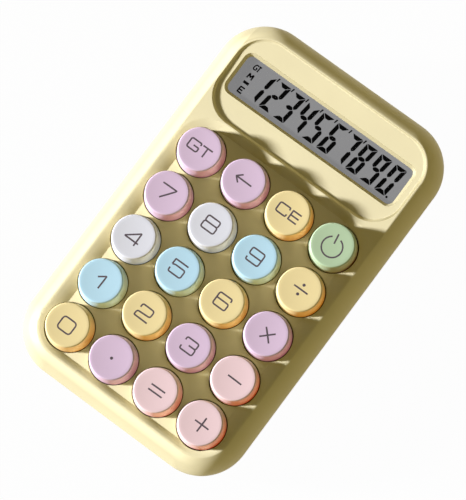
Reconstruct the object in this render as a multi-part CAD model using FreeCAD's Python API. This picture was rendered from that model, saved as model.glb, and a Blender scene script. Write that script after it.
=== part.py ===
import FreeCAD, Part
import math
import os
from collections import namedtuple

from FreeCAD import Placement, Rotation, Vector

# Desk calculator with round keys, in millimetres.
# Two moulded half shells hold twenty key switches on one board and a readout on a second board.
# Row frame: X to the right, Y from the front edge to the display, Z up, origin under the middle of the feet.
# Deck frame: the sloping keyboard floor, with X to the right, Y up the slope and Z out of the deck.
# Bezel frame: the steeper display floor, with its origin at the middle of that floor's back edge.

# Keys
key_names = (
    ("gt", "backspace", "ce", "power"),
    ("7", "8", "9", "divide"),
    ("4", "5", "6", "multiply"),
    ("1", "2", "3", "minus"),
    ("0", "point", "equals", "plus"),
)
key_pitch = 19.05
key_gap = 1.85
key_height = 7.2
key_travel = 3.5
key_taper = 0.75
key_edge_round = 0.45
key_hole_gap = 0.3
cap_wall = 1.0
cap_top_wall = 1.5
cap_post_radius = 2.6
socket_gap = 0.05
cross_length = 4.0
cross_width = 1.25
cross_height = 3.6

# Key switches
press_clearance = 0.6
skirt_clearance = 0.7
housing_gap = 0.7
housing_chamfer_share = 0.43
housing_upper_height = 6.8
housing_top_inset = 0.8
housing_body_height = 5.0
housing_body_inset = 0.75
housing_draft = 0.3
housing_body_cut_share = 0.1
flange_gap = 3.65
flange_thickness = 1.0
housing_wall = 1.0
housing_side_wall = 1.7
housing_lip = 1.2
housing_lip_overlap = 0.6
chamber_floor = 1.5
stem_slide_gap = 0.1
stem_base_gap = 0.2
stem_base_height = 3.3
spring_radius = 2.4
spring_wall = 0.4
centre_post_radius = 2.0
switch_pin_size = 1.0
switch_pin_places = ((-3.81, 2.54), (2.54, 5.08))
pin_reach = 1.7
board_hole_gap = 0.1

# Outer case
side_margin = 17.325
front_margin = 17.5
display_length = 53.7
corner_radius = 18.0
deck_tilt = 5.0
crest = 1.5
rim_width = 6.1
rim_top_tilt = 22.0
rim_edge_tilt = 72.0
rim_land = 0.5
crest_land = 0.3
case_wall = 2.4
case_wall_tilt = 7.0
rim_wall = 1.2
rebate_height = 1.4
lip_height = 1.2
lip_gap = 0.15
lip_root = 0.5
cavity_shoulder = 2.6
cavity_inset = 5.5
floor_thickness = 2.0
bottom_round = 2.5
deck_thickness = 2.0
boss_root = 0.5

# Keyboard recess
recess_side_reach = 6.0
recess_front_reach = 8.5
recess_back_reach = 9.9
recess_corner = 10.5
recess_swell = 0.63
ridge_wall = 3.1
ridge_land = 0.5

# Display pocket, readout and its board
bezel_tilt = 1.4
bezel_step = 0.4
pocket_side_wall = 0.7
pocket_front_wall = 0.8
pocket_corner = 10.9
window_side_margin = 9.1
window_length = 17.2
window_back_margin = 7.3
window_corner = 3.3
window_draft = 1.1
bezel_thickness = 1.2
lens_thickness = 0.8
lens_overlap = 1.2
lens_gap = 0.15
glass_thickness = 1.1
glass_ledge = 2.6
glass_gap = 0.15
holder_wall = 1.0
holder_lip = 1.2
holder_lip_gap = 0.05
holder_depth = 5.0
holder_room = 0.5
zebra_width = 2.2
zebra_gap = 0.2
zebra_margin = 0.6
bezel_rib = 4.8
display_board_width = 53.2
display_cavity_depth = 10.0
display_boss_radius = 2.0
display_boss_gap = 0.3
display_boss_margin = 5.6
display_board_edge = 2.4
chip_radius = 6.0
chip_height = 1.5
chip_side = -8.0
chip_forward = 2.0

# Boards, screws and the lead between the boards
board_thickness = 1.6
board_side_edge = 8.4
board_front_edge = 7.3
board_back_edge = 8.9
board_corner = 2.0
pin_clearance = 1.1
board_boss_radius = 2.2
board_screw_radius = 0.95
board_screw_gap = 0.05
board_screw_pass = 0.2
board_screw_head_radius = 1.9
board_screw_head_height = 1.4
board_screw_grip = 4.0
case_boss_radius = 2.7
case_boss_drop = 0.7
case_boss_gap = 0.2
back_boss_gap = 1.0
side_boss_inset = 1.7
case_screw_radius = 1.2
case_screw_gap = 0.05
case_screw_pass = 0.2
case_screw_head_radius = 2.3
case_screw_head_height = 1.6
case_screw_head_gap = 0.2
case_screw_grip = 7.0
case_screw_ledge = 2.0
case_post_radius = 3.7
cross_recess_width = 0.8
cross_recess_length = 2.6
cross_recess_depth = 0.9
bore_end_room = 1.0
ribbon_width = 12.0
ribbon_thickness = 0.3
ribbon_bend = 1.5
ribbon_side = 10.0
ribbon_display_lap = 7.0
ribbon_key_lap = 1.75
ribbon_reach = 1.75

# Battery bay, cell, contacts and door
cell_length = 44.5
cell_radius = 5.25
cell_button_length = 1.0
cell_button_radius = 1.9
cell_end_round = 0.5
bay_board_gap = 8.4
bay_side_room = 0.85
bay_end_room = 4.0
bay_wall = 1.5
bay_roof = 1.5
cell_top_room = 0.5
cell_door_room = 0.6
door_thickness = 1.6
door_seat_gap = 0.1
door_gap = 0.3
tab_spread = 30.0
tab_width = 6.0
tab_thickness = 1.0
tab_reach = 1.7
tab_floor_gap = 0.1
tab_slot_gap = 0.3
tab_slot_room = 0.9
tongue_width = 11.0
tongue_length = 5.0
tongue_slit = 0.8
grip_count = 3
grip_pitch = 1.4
grip_width = 0.7
grip_depth = 0.4
notch_radius = 5.0
notch_depth = 1.0
contact_thickness = 0.4
contact_width = 8.0
contact_tail = 3.0
contact_gap = 0.05
contact_wall_gap = 0.15
contact_foot = 1.2
contact_tail_rise = 1.5
leaf_bend = 0.8
leaf_lift = 4.4
leaf_return = 3.0
leaf_return_shift = 1.2
slot_room = 0.2
lead_radius = 0.6
lead_bend = 1.8
lead_run = 9.0
lead_gap = 0.05

# Feet
foot_stand = 1.0
foot_recess = 1.0
foot_radius = 4.5
foot_round = 0.5
foot_gap = 0.1
foot_side_inset = 13.4
foot_end_inset = 17.6

# Room that cutters take past the faces that they open
overshoot = 1.0

Outline = namedtuple("Outline", "half low high radius")


def sine(angle):
    return math.sin(math.radians(angle))


def cosine(angle):
    return math.cos(math.radians(angle))


def tangent(angle):
    return math.tan(math.radians(angle))


def inset(outline, amount):
    """The outline drawn in by the same amount all round."""
    half, low, high, radius = outline
    return Outline(half - amount, low + amount, high - amount, radius - amount)


def wire(outline, level):
    """Closed wire of a rectangle with four equal round corners."""
    side = outline.half - outline.radius
    front = outline.low + outline.radius
    back = outline.high - outline.radius
    arcs = []
    for quarter, (x, y) in enumerate(((side, front), (side, back), (-side, back), (-side, front))):
        angles = [90 * quarter - 90 + turn for turn in (0, 45, 90)]
        arcs.append(
            [Vector(x + outline.radius * cosine(a), y + outline.radius * sine(a), level) for a in angles]
        )
    edges = []
    for index, points in enumerate(arcs):
        edges.append(Part.Arc(*points).toShape())
        edges.append(Part.LineSegment(points[2], arcs[(index + 1) % 4][0]).toShape())
    return Part.Wire(edges)


def prism(outline, bottom, top):
    return Part.Face(wire(outline, bottom)).extrude(Vector(0, 0, top - bottom))


def loft(sections, ruled=True):
    """Solid through (outline, level) sections."""
    return Part.makeLoft([wire(outline, level) for outline, level in sections], True, ruled)


def block(x_low, x_high, y_low, y_high, z_low, z_high):
    corner = Vector(x_low, y_low, z_low)
    return Part.makeBox(x_high - x_low, y_high - y_low, z_high - z_low, corner)


def disc(x, y, radius, bottom, top):
    return Part.makeCylinder(radius, top - bottom, Vector(x, y, bottom))


def tapered_square(half_low, half_high, cut_share, bottom, top):
    """Square column with cut corners whose width changes from its foot to its top."""
    sections = []
    for half, level in ((half_low, bottom), (half_high, top)):
        near = half * (1 - cut_share)
        around = ((half, -near), (half, near), (near, half), (-near, half))
        points = [Vector(x, y, level) for x, y in around]
        points += [Vector(-x, -y, level) for x, y in around]
        sections.append(Part.makePolygon(points + points[:1]))
    return Part.makeLoft(sections, True, True)


def bent_outline(points, bend, thickness):
    """Wire round a strip of even thickness that follows straight runs and round bends in the XY plane."""
    runs = [(end - start).normalize() for start, end in zip(points, points[1:])]
    lefts = [Vector(-run.y, run.x, 0) for run in runs]
    sides = []
    for offset in (thickness / 2, -thickness / 2):
        edges = []
        last = points[0] + lefts[0] * offset
        for index in range(1, len(points) - 1):
            before, after = lefts[index - 1], lefts[index]
            turn = math.copysign(1, runs[index - 1].cross(runs[index]).z)
            half_turn = runs[index - 1].getAngle(runs[index]) / 2
            centre = points[index] - runs[index - 1] * (bend * math.tan(half_turn)) + before * (turn * bend)
            arm = turn * (bend - turn * offset)
            middle = (before + after).normalize()
            corner = [centre - normal * arm for normal in (before, middle, after)]
            edges.append(Part.LineSegment(last, corner[0]).toShape())
            edges.append(Part.Arc(*corner).toShape())
            last = corner[2]
        edges.append(Part.LineSegment(last, points[-1] + lefts[-1] * offset).toShape())
        sides.append(edges)
    ends = []
    for point, left in ((points[0], lefts[0]), (points[-1], lefts[-1])):
        across = left * (thickness / 2)
        ends.append(Part.LineSegment(point + across, point - across).toShape())
    return Part.Wire(Part.__sortEdges__(sides[0] + [ends[1]] + sides[1] + [ends[0]]))


def bent_strip(points, bend, thickness, width):
    """Strip of sheet, drawn in the XY plane and as wide along Z as its width, centred on that plane."""
    face = Part.Face(bent_outline(points, bend, thickness))
    face.translate(Vector(0, 0, -width / 2))
    return face.extrude(Vector(0, 0, width))


def placed(shape, frame):
    moved = shape.copy()
    moved.Placement = frame.multiply(moved.Placement)
    return moved


def shifted(shape, x, y, z=0):
    return placed(shape, Placement(Vector(x, y, z), Rotation()))


def joined(shapes):
    return shapes[0].multiFuse(shapes[1:]).removeSplitter()


# Key grid and body outline in the deck frame
row_count = len(key_names)
column_count = len(key_names[0])
grid_half = key_pitch * (column_count - 1) / 2
grid_reach = key_pitch * (row_count - 1) / 2
key_places = {}
for row, names in enumerate(key_names):
    for column, name in enumerate(names):
        key_places[name] = (column * key_pitch - grid_half, grid_reach - row * key_pitch)

body = Outline(
    grid_half + side_margin, -grid_reach - front_margin, grid_reach + display_length, corner_radius
)
rim_radius = rim_width / (sine(rim_edge_tilt) - sine(rim_top_tilt))
rim_drop = rim_radius * (cosine(rim_top_tilt) - cosine(rim_edge_tilt))
rim_foot = crest - rim_drop
parting = rim_foot - rim_land
crest_line = inset(body, rim_width)
inner_crest = inset(crest_line, crest_land)

# Heights of the key stack in the deck frame
key_radius = (key_pitch - key_gap) / 2
cap_ceiling = key_height - cap_top_wall
housing_top = cap_ceiling - key_travel - press_clearance
flange_top = housing_top - housing_upper_height
skirt_end = flange_top + key_travel + skirt_clearance
flange_bottom = flange_top - flange_thickness
board_top = flange_bottom - housing_body_height
board_bottom = board_top - board_thickness
pin_end = board_bottom - pin_reach
shoulder_top = housing_top - stem_slide_gap
stem_base_top = housing_top - housing_lip - stem_slide_gap
stem_bottom = stem_base_top - stem_base_height
chamber_bottom = board_top + chamber_floor

# Widths of the key stack
skirt_inside = key_radius - cap_wall
housing_half = (skirt_inside - housing_gap) / math.hypot(1, 1 - housing_chamfer_share)
chamber_half = housing_half - housing_top_inset - housing_wall
chamber_side = housing_half - housing_top_inset - housing_side_wall
flange_half = (key_pitch - flange_gap) / 2

# Recess, ridge and display pocket
recess_foot = Outline(
    grid_half + recess_side_reach,
    -grid_reach - recess_front_reach,
    grid_reach + recess_back_reach,
    recess_corner,
)
recess_back = recess_foot.high + ridge_wall
recess_top = Outline(inner_crest.half, inner_crest.low, recess_back, inner_crest.radius)
pocket_top = Outline(inner_crest.half, recess_back + ridge_land, inner_crest.high, inner_crest.radius)
floor_back = pocket_top.high - bezel_step
floor_length = (floor_back - pocket_top.low - pocket_front_wall) / cosine(bezel_tilt)
pocket_floor = Outline(pocket_top.half - pocket_side_wall, -floor_length, 0, pocket_corner)

# Display stack in the bezel frame: depths below the bezel and places along its slope
window_half = body.half - window_side_margin
window_top = Outline(
    window_half, -window_back_margin - window_length, -window_back_margin, window_corner
)
window_middle = (window_top.low + window_top.high) / 2
window_bottom = inset(window_top, window_draft)
lens = inset(window_bottom, -lens_overlap)
slab = bezel_thickness + lens_thickness
glass_top_end = slab + glass_thickness
glass_end = glass_top_end + glass_thickness
holder_end = slab + holder_depth
display_board_end = holder_end + board_thickness
glass_pocket = inset(lens, -glass_gap)
holder = inset(glass_pocket, -holder_wall)
display_board_half = display_board_width / 2
display_boss_x = display_board_half - display_boss_margin
display_boss_front = holder.low - display_boss_gap - display_boss_radius
display_boss_back = holder.high + display_boss_gap + display_boss_radius
display_board_front = display_boss_front - display_board_edge
display_board_back = display_boss_back + display_board_edge
display_bosses = [
    (x, y) for x in (-display_boss_x, display_boss_x) for y in (display_boss_front, display_boss_back)
]
zebra_back = glass_pocket.low + glass_gap + glass_ledge - zebra_gap
zebra_front = zebra_back - zebra_width
zebra_half = display_board_half - zebra_margin

# Boards and screws in the deck frame
key_board_outline = Outline(
    grid_half + board_side_edge, -grid_reach - board_front_edge, grid_reach + board_back_edge, board_corner
)
board_boss_x = key_pitch * (column_count - 2) / 2
board_boss_y = key_pitch * (row_count - 2) / 2
board_bosses = [(x, y) for x in (-board_boss_x, board_boss_x) for y in (-board_boss_y, board_boss_y)]
front_screw_y = key_board_outline.low - case_boss_radius - case_boss_gap
side_screw_x = body.half - cavity_inset - case_boss_radius - side_boss_inset
back_screw_x = display_board_half + case_boss_radius + back_boss_gap
back_screw_y = body.high - cavity_inset - case_boss_radius - case_boss_gap
case_boss_level = board_bottom - case_boss_drop
case_bosses = []
for side in (-1, 1):
    case_bosses.append((side * board_boss_x, front_screw_y))
    case_bosses.append((side * side_screw_x, recess_back))
    case_bosses.append((side * back_screw_x, back_screw_y))

# Where the deck frame and the bezel frame stand
deck_height = (
    foot_stand
    + floor_thickness
    + pin_clearance
    - pin_end * cosine(deck_tilt)
    - key_board_outline.low * sine(deck_tilt)
)
front_reach = body.low * cosine(deck_tilt) - rim_foot * sine(deck_tilt)
back_reach = body.high * cosine(deck_tilt) - parting * sine(deck_tilt)
deck_frame = Placement(
    Vector(0, -(front_reach + back_reach) / 2, deck_height), Rotation(Vector(1, 0, 0), deck_tilt)
)
bezel_frame = Placement(Vector(0, floor_back, crest - bezel_step), Rotation(Vector(1, 0, 0), bezel_tilt))
display_frame = deck_frame.multiply(bezel_frame)

# Battery bay in the row frame
half_length = (back_reach - front_reach) / 2
floor_top = foot_stand + floor_thickness
bay_half = (cell_length + bay_end_room) / 2
bay_side = cell_radius + bay_side_room
board_back = deck_frame.multVec(Vector(0, key_board_outline.high, board_bottom)).y
bay_y = board_back + bay_board_gap + bay_wall + bay_side
door_ledge = foot_stand + door_thickness + door_seat_gap
cell_z = foot_stand + door_thickness + cell_door_room + cell_radius
bay_ceiling = cell_z + cell_radius + cell_top_room
bay_top = bay_ceiling + bay_roof
plus_face = bay_half - contact_wall_gap - contact_thickness
cell_plus_end = plus_face - contact_gap
cell_minus_end = cell_plus_end - cell_length
hinge_y = bay_y - bay_side - bay_wall
tail_top = bay_top + contact_tail_rise
tail_x = bay_half - contact_wall_gap - contact_thickness / 2


def foot_places():
    """Middles of the four feet in the row frame."""
    x = body.half - foot_side_inset
    y = half_length - foot_end_inset
    return [(sx * x, sy * y) for sx in (-1, 1) for sy in (-1, 1)]


def rim_cutter():
    """Everything outside the rolled rim: an arc swept along the body outline."""
    path = wire(body, crest)
    start = path.Vertexes[0].Point
    middle_slope = (rim_top_tilt + rim_edge_tilt) / 2
    arc = []
    for slope in (rim_top_tilt, middle_slope, rim_edge_tilt):
        across = rim_radius * (sine(rim_edge_tilt) - sine(slope))
        drop = rim_radius * (cosine(rim_top_tilt) - cosine(slope))
        arc.append(Vector(start.x, start.y + across, crest - drop))
    edge = arc[2]
    outside = edge - Vector(0, overshoot, 0)
    above = Vector(start.x, outside.y, crest + overshoot)
    over_crest = Vector(start.x, arc[0].y, crest + overshoot)
    corners = [edge, outside, above, over_crest, arc[0]]
    edges = [Part.Arc(*arc).toShape()]
    edges += [Part.LineSegment(a, b).toShape() for a, b in zip(corners, corners[1:])]
    return path.makePipeShell([Part.Wire(Part.__sortEdges__(edges))], True, False)


def recess_cutter():
    """The keyboard recess: its walls swell from the crest down to the deck floor."""
    middle = Outline(*[(a + b) / 2 for a, b in zip(recess_top, recess_foot)])
    return loft([(recess_top, crest), (middle, crest * recess_swell), (recess_foot, 0)], ruled=False)


def pocket_cutter():
    """The display pocket: ruled walls from the crest plane down to the steeper bezel."""
    floor_wire = placed(wire(pocket_floor, 0), bezel_frame)
    return Part.makeLoft([wire(pocket_top, crest), floor_wire], True, True)


def inner_space():
    """The room under the deck, with the bezel slab kept and the readout's room opened."""
    room = loft(
        [
            (inset(body, cavity_shoulder), parting - overshoot),
            (inset(body, cavity_shoulder), parting + rebate_height),
            (inset(body, cavity_inset), -deck_thickness),
        ]
    )
    wide = body.half + overshoot
    kept = block(-wide, wide, -floor_length - bezel_rib, body.radius, -slab, body.radius)
    readout_half = holder.half + holder_room
    readout_room = block(
        -readout_half,
        readout_half,
        display_board_front - holder_room,
        display_board_back + holder_room,
        -slab - display_cavity_depth,
        -slab,
    )
    return room.cut(placed(kept, bezel_frame)).fuse(placed(readout_room, bezel_frame))


def make_upper_case():
    shell = prism(body, parting, crest)
    shell = shell.cut(rim_cutter())
    shell = shell.cut(recess_cutter())
    shell = shell.cut(pocket_cutter())
    shell = shell.cut(prism(inset(body, rim_wall), parting - overshoot, parting + rebate_height))
    shell = shell.cut(inner_space())
    bosses = [disc(x, y, case_boss_radius, case_boss_level, -boss_root) for x, y in case_bosses]
    bosses += [disc(x, y, board_boss_radius, board_top, -boss_root) for x, y in board_bosses]
    for x, y in display_bosses:
        bosses.append(placed(disc(x, y, display_boss_radius, -holder_end, -bezel_thickness), bezel_frame))
    shell = shell.multiFuse(bosses)
    hole_radius = key_radius + key_hole_gap
    holes = [
        disc(x, y, hole_radius, -deck_thickness - overshoot, crest + overshoot)
        for x, y in key_places.values()
    ]
    case_bore = case_screw_radius + case_screw_gap
    for x, y in case_bosses:
        bore_end = case_boss_level + case_screw_grip
        holes.append(disc(x, y, case_bore, case_boss_level - overshoot, bore_end))
    board_bore = board_screw_radius + board_screw_gap
    for x, y in board_bosses:
        holes.append(disc(x, y, board_bore, board_top - overshoot, board_top + board_screw_grip))
    for x, y in display_bosses:
        bore = disc(x, y, board_bore, -holder_end - overshoot, -holder_end + board_screw_grip)
        holes.append(placed(bore, bezel_frame))
    lens_seat = prism(inset(lens, -lens_gap), -slab - overshoot, -bezel_thickness)
    window = loft([(window_top, 0), (window_bottom, -bezel_thickness)])
    holes.append(placed(lens_seat, bezel_frame))
    holes.append(placed(window, bezel_frame))
    return placed(shell.cut(holes), deck_frame)


def make_lower_case():
    drop = deck_height + body.high * sine(deck_tilt)
    lean = drop * tangent(case_wall_tilt)
    outside = loft([(inset(body, lean), parting - drop), (body, parting)])
    inside = loft(
        [
            (inset(body, case_wall + lean), parting - drop),
            (inset(body, case_wall), parting),
            (inset(body, case_wall), parting + overshoot),
        ]
    )
    wide = body.high
    under = block(-wide, wide, -wide, wide, -drop, foot_stand)
    below_floor = block(-wide, wide, -wide, wide, -drop, floor_top)
    outside = placed(outside, deck_frame).cut(under)
    bottom = min(outside.Faces, key=lambda face: face.CenterOfMass.z)
    rounded = outside.makeFillet(bottom_round, bottom.Edges)
    tub = rounded.cut(placed(inside, deck_frame).cut(below_floor))
    lip = prism(inset(body, rim_wall + lip_gap), parting - lip_root, parting + lip_height)
    lip_bore = prism(
        inset(body, case_wall), parting - lip_root - overshoot, parting + lip_height + overshoot
    )
    lip = lip.cut(lip_bore)
    added = [placed(lip, deck_frame)]
    for x, y in case_bosses:
        post = placed(disc(x, y, case_post_radius, parting - drop, case_boss_level), deck_frame)
        added.append(post.common(rounded))
    bay_outer_half = bay_half + bay_wall
    bay_outer_side = bay_side + bay_wall
    added.append(
        block(-bay_outer_half, bay_outer_half, hinge_y, bay_y + bay_outer_side, door_ledge, bay_top)
    )
    tub = tub.multiFuse(added)
    holes = [
        block(-bay_half, bay_half, bay_y - bay_side, bay_y + bay_side, foot_stand, bay_ceiling),
        block(-bay_outer_half, bay_outer_half, hinge_y, bay_y + bay_outer_side, 0, door_ledge),
        disc(0, bay_y + bay_outer_side, notch_radius, 0, foot_stand + notch_depth),
    ]
    for x in tab_middles():
        reach = tab_width / 2 + tab_slot_gap
        slot_top = floor_top + tab_floor_gap + tab_thickness + tab_slot_room
        holes.append(block(x - reach, x + reach, hinge_y, bay_y - bay_side, foot_stand, slot_top))
    for x in (-tail_x, tail_x):
        half = contact_thickness / 2 + slot_room
        reach = contact_tail / 2 + slot_room
        holes.append(block(x - half, x + half, bay_y - reach, bay_y + reach, bay_ceiling, bay_top))
    for x, y in case_bosses:
        ledge = case_boss_level - case_screw_ledge
        head_bore = disc(x, y, case_screw_head_radius + case_screw_head_gap, parting - drop, ledge)
        pass_bore = disc(x, y, case_screw_radius + case_screw_pass, ledge, case_boss_level)
        holes.append(placed(head_bore.fuse(pass_bore), deck_frame))
    for x, y in foot_places():
        holes.append(disc(x, y, foot_radius + foot_gap, 0, foot_stand + foot_recess))
    return tub.cut(holes)


def make_feet():
    foot = disc(0, 0, foot_radius, 0, foot_stand + foot_recess)
    foot = foot.makeFillet(foot_round, [min(foot.Edges, key=lambda edge: edge.CenterOfMass.z)])
    return Part.makeCompound([shifted(foot, x, y) for x, y in foot_places()])


def make_screw(radius, grip, head_radius, head_height):
    """Screw with a cross recess: the underside of its head is at zero and its shank points up."""
    head = disc(0, 0, head_radius, -head_height, 0)
    shank = disc(0, 0, radius, 0, grip)
    half = cross_recess_length / 2
    thin = cross_recess_width / 2
    depth = -head_height + cross_recess_depth
    recess = [
        block(-half, half, -thin, thin, -head_height, depth),
        block(-thin, thin, -half, half, -head_height, depth),
    ]
    return head.fuse(shank).cut(recess).removeSplitter()


def make_case_screws():
    grip = case_screw_ledge + case_screw_grip - bore_end_room
    screw = make_screw(case_screw_radius, grip, case_screw_head_radius, case_screw_head_height)
    level = case_boss_level - case_screw_ledge
    return Part.makeCompound([placed(shifted(screw, x, y, level), deck_frame) for x, y in case_bosses])


def make_board_screws():
    grip = board_thickness + board_screw_grip - bore_end_room
    screw = make_screw(board_screw_radius, grip, board_screw_head_radius, board_screw_head_height)
    screws = [placed(shifted(screw, x, y, board_bottom), deck_frame) for x, y in board_bosses]
    screws += [placed(shifted(screw, x, y, -display_board_end), display_frame) for x, y in display_bosses]
    return Part.makeCompound(screws)


def make_keycap():
    """Hollow round key top with a socket post, turned about its own axis."""
    crown = key_radius - key_taper
    round_start = key_height - key_edge_round
    flat = crown - key_edge_round
    swell = key_edge_round * cosine(45)
    post_end = shoulder_top + socket_gap
    points = [
        Vector(flat, 0, key_height),
        Vector(0, 0, key_height),
        Vector(0, 0, post_end),
        Vector(cap_post_radius, 0, post_end),
        Vector(cap_post_radius, 0, cap_ceiling),
        Vector(crown - cap_wall, 0, cap_ceiling),
        Vector(skirt_inside, 0, skirt_end),
        Vector(key_radius, 0, skirt_end),
        Vector(key_radius, 0, 0),
        Vector(crown, 0, round_start),
    ]
    edges = [Part.LineSegment(a, b).toShape() for a, b in zip(points, points[1:])]
    edge_middle = Vector(flat + swell, 0, round_start + swell)
    edges.append(Part.Arc(points[-1], edge_middle, points[0]).toShape())
    cap = Part.Face(Part.Wire(edges)).revolve(Vector(0, 0, 0), Vector(0, 0, 1), 360)
    half = cross_length / 2 + socket_gap
    thin = cross_width / 2 + socket_gap
    socket_end = shoulder_top + cross_height + socket_gap
    socket = [
        block(-half, half, -thin, thin, post_end - overshoot, socket_end),
        block(-thin, thin, -half, half, post_end - overshoot, socket_end),
    ]
    return cap.cut(socket)


def make_stem():
    """Switch plunger: the cross for the key top, the guided shoulder and the wider base."""
    half = cross_length / 2
    thin = cross_width / 2
    cross_top = shoulder_top + cross_height
    shoulder_x = chamber_half - housing_lip_overlap - stem_slide_gap
    shoulder_y = chamber_side - housing_lip_overlap - stem_slide_gap
    base_x = chamber_half - stem_base_gap
    base_y = chamber_side - stem_base_gap
    return joined(
        [
            block(-half, half, -thin, thin, shoulder_top, cross_top),
            block(-thin, thin, -half, half, shoulder_top, cross_top),
            block(-shoulder_x, shoulder_x, -shoulder_y, shoulder_y, stem_base_top, shoulder_top),
            block(-base_x, base_x, -base_y, base_y, stem_bottom, stem_base_top),
        ]
    )


def make_housing():
    """Switch body: tapered upper half, flange, lower half on the board, centre post and two pins."""
    body_half = flange_half - housing_body_inset
    top_half = housing_half - housing_top_inset
    foot_half = body_half - housing_draft
    pieces = [
        tapered_square(housing_half, top_half, housing_chamfer_share, flange_top, housing_top),
        block(-flange_half, flange_half, -flange_half, flange_half, flange_bottom, flange_top),
        tapered_square(foot_half, body_half, housing_body_cut_share, board_top, flange_bottom),
        disc(0, 0, centre_post_radius, pin_end, board_top),
    ]
    pin = switch_pin_size / 2
    for x, y in switch_pin_places:
        pieces.append(block(x - pin, x + pin, y - pin, y + pin, pin_end, board_top))
    lip_x = chamber_half - housing_lip_overlap
    lip_y = chamber_side - housing_lip_overlap
    lip_bottom = housing_top - housing_lip
    hollows = [
        block(-lip_x, lip_x, -lip_y, lip_y, lip_bottom, housing_top),
        block(-chamber_half, chamber_half, -chamber_side, chamber_side, chamber_bottom, lip_bottom),
    ]
    return joined(pieces).cut(hollows)


def make_spring():
    """Return spring between the housing floor and the plunger, as a thin sleeve of its coil's size."""
    sleeve = disc(0, 0, spring_radius, chamber_bottom, stem_bottom)
    return sleeve.cut(disc(0, 0, spring_radius - spring_wall, chamber_bottom, stem_bottom))


def at_every_key(shape):
    return [placed(shifted(shape, x, y), deck_frame) for x, y in key_places.values()]


def make_key_board():
    board = prism(key_board_outline, board_bottom, board_top)
    pin = switch_pin_size / 2 + board_hole_gap
    holes = []
    for x, y in key_places.values():
        holes.append(disc(x, y, centre_post_radius + board_hole_gap, board_bottom, board_top))
        for dx, dy in switch_pin_places:
            hole = block(dx - pin, dx + pin, dy - pin, dy + pin, board_bottom, board_top)
            holes.append(shifted(hole, x, y))
    for x, y in board_bosses:
        holes.append(disc(x, y, board_screw_radius + board_screw_pass, board_bottom, board_top))
    return placed(board.cut(holes), deck_frame)


def make_display_window():
    return placed(prism(lens, -slab, -bezel_thickness), display_frame)


def make_lcd_glass():
    """Two glass sheets: the lower one stops short to leave a ledge of contacts."""
    half, low, high = lens.half, lens.low, lens.high
    upper_sheet = block(-half, half, low, high, -glass_top_end, -slab)
    lower_sheet = block(-half, half, low + glass_ledge, high, -glass_end, -glass_top_end)
    return placed(joined([upper_sheet, lower_sheet]), display_frame)


def make_lcd_holder():
    """Frame round the readout glass with a supporting lip and a slot for the contact strip."""
    seat = -glass_end - holder_lip_gap
    half, low, high = glass_pocket.half, glass_pocket.low, glass_pocket.high
    slot_half = zebra_half + zebra_gap
    slot_front = zebra_front - zebra_gap
    slot_back = zebra_back + zebra_gap
    frame = block(-holder.half, holder.half, holder.low, holder.high, -holder_end, -slab)
    hollows = [
        block(-half, half, low, high, seat, -slab),
        block(
            holder_lip - half,
            half - holder_lip,
            slot_back + holder_wall,
            high - holder_lip,
            -holder_end,
            seat,
        ),
        block(-slot_half, slot_half, slot_front, slot_back, -holder_end, seat),
    ]
    return placed(frame.cut(hollows), display_frame)


def make_zebra_strip():
    strip = block(-zebra_half, zebra_half, zebra_front, zebra_back, -holder_end, -glass_top_end)
    return placed(strip, display_frame)


def make_display_board():
    outline = Outline(display_board_half, display_board_front, display_board_back, board_corner)
    board = prism(outline, -display_board_end, -holder_end)
    holes = [
        disc(x, y, board_screw_radius + board_screw_pass, -display_board_end, -holder_end)
        for x, y in display_bosses
    ]
    return placed(board.cut(holes), display_frame)


def make_controller_chip():
    """Moulded drop over the chip: a shallow dome on the board's back."""
    dome_radius = (chip_radius ** 2 + chip_height ** 2) / (2 * chip_height)
    ball = Part.makeSphere(dome_radius, Vector(0, 0, dome_radius - chip_height))
    dome = ball.common(disc(0, 0, chip_radius, -chip_height, 0))
    place = shifted(dome, chip_side, window_middle + chip_forward, -display_board_end)
    return placed(place, display_frame)


def make_ribbon_cable():
    """Flat lead from the underside of the display board to the underside of the key board."""
    under = ribbon_thickness / 2
    bezel_points = [
        Vector(0, display_board_front + ribbon_display_lap, -display_board_end - under),
        Vector(0, display_board_front, -display_board_end - under),
    ]
    points = [bezel_frame.multVec(point) for point in bezel_points]
    level = board_bottom - under
    points.append(Vector(0, key_board_outline.high + ribbon_reach, level))
    points.append(Vector(0, key_board_outline.high - ribbon_key_lap, level))
    flat = [Vector(point.y, point.z, 0) for point in points]
    strip = bent_strip(flat, ribbon_bend, ribbon_thickness, ribbon_width)
    turn = Rotation(Vector(0, 1, 0), Vector(0, 0, 1), Vector(1, 0, 0))
    upright = Placement(Vector(ribbon_side, 0, 0), turn)
    return placed(placed(strip, upright), deck_frame)


def make_battery_cell():
    """Cell turned about its length: the button end points to the right."""
    shoulder = cell_length - cell_button_length
    inner = cell_radius - cell_end_round
    slant = cell_end_round * (1 - cosine(45))
    near_low = Vector(slant, 0, cell_radius - slant)
    near_high = Vector(shoulder - slant, 0, cell_radius - slant)
    corners = [
        Vector(shoulder, 0, inner),
        Vector(shoulder, 0, cell_button_radius),
        Vector(cell_length, 0, cell_button_radius),
        Vector(cell_length, 0, 0),
        Vector(0, 0, 0),
        Vector(0, 0, inner),
    ]
    edges = [Part.LineSegment(a, b).toShape() for a, b in zip(corners, corners[1:])]
    side_start = Vector(cell_end_round, 0, cell_radius)
    side_end = Vector(shoulder - cell_end_round, 0, cell_radius)
    edges.append(Part.Arc(corners[-1], near_low, side_start).toShape())
    edges.append(Part.LineSegment(side_start, side_end).toShape())
    edges.append(Part.Arc(side_end, near_high, corners[0]).toShape())
    cell = Part.Face(Part.Wire(edges)).revolve(Vector(0, 0, 0), Vector(1, 0, 0), 360)
    return shifted(cell, cell_minus_end, bay_y, cell_z)


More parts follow.
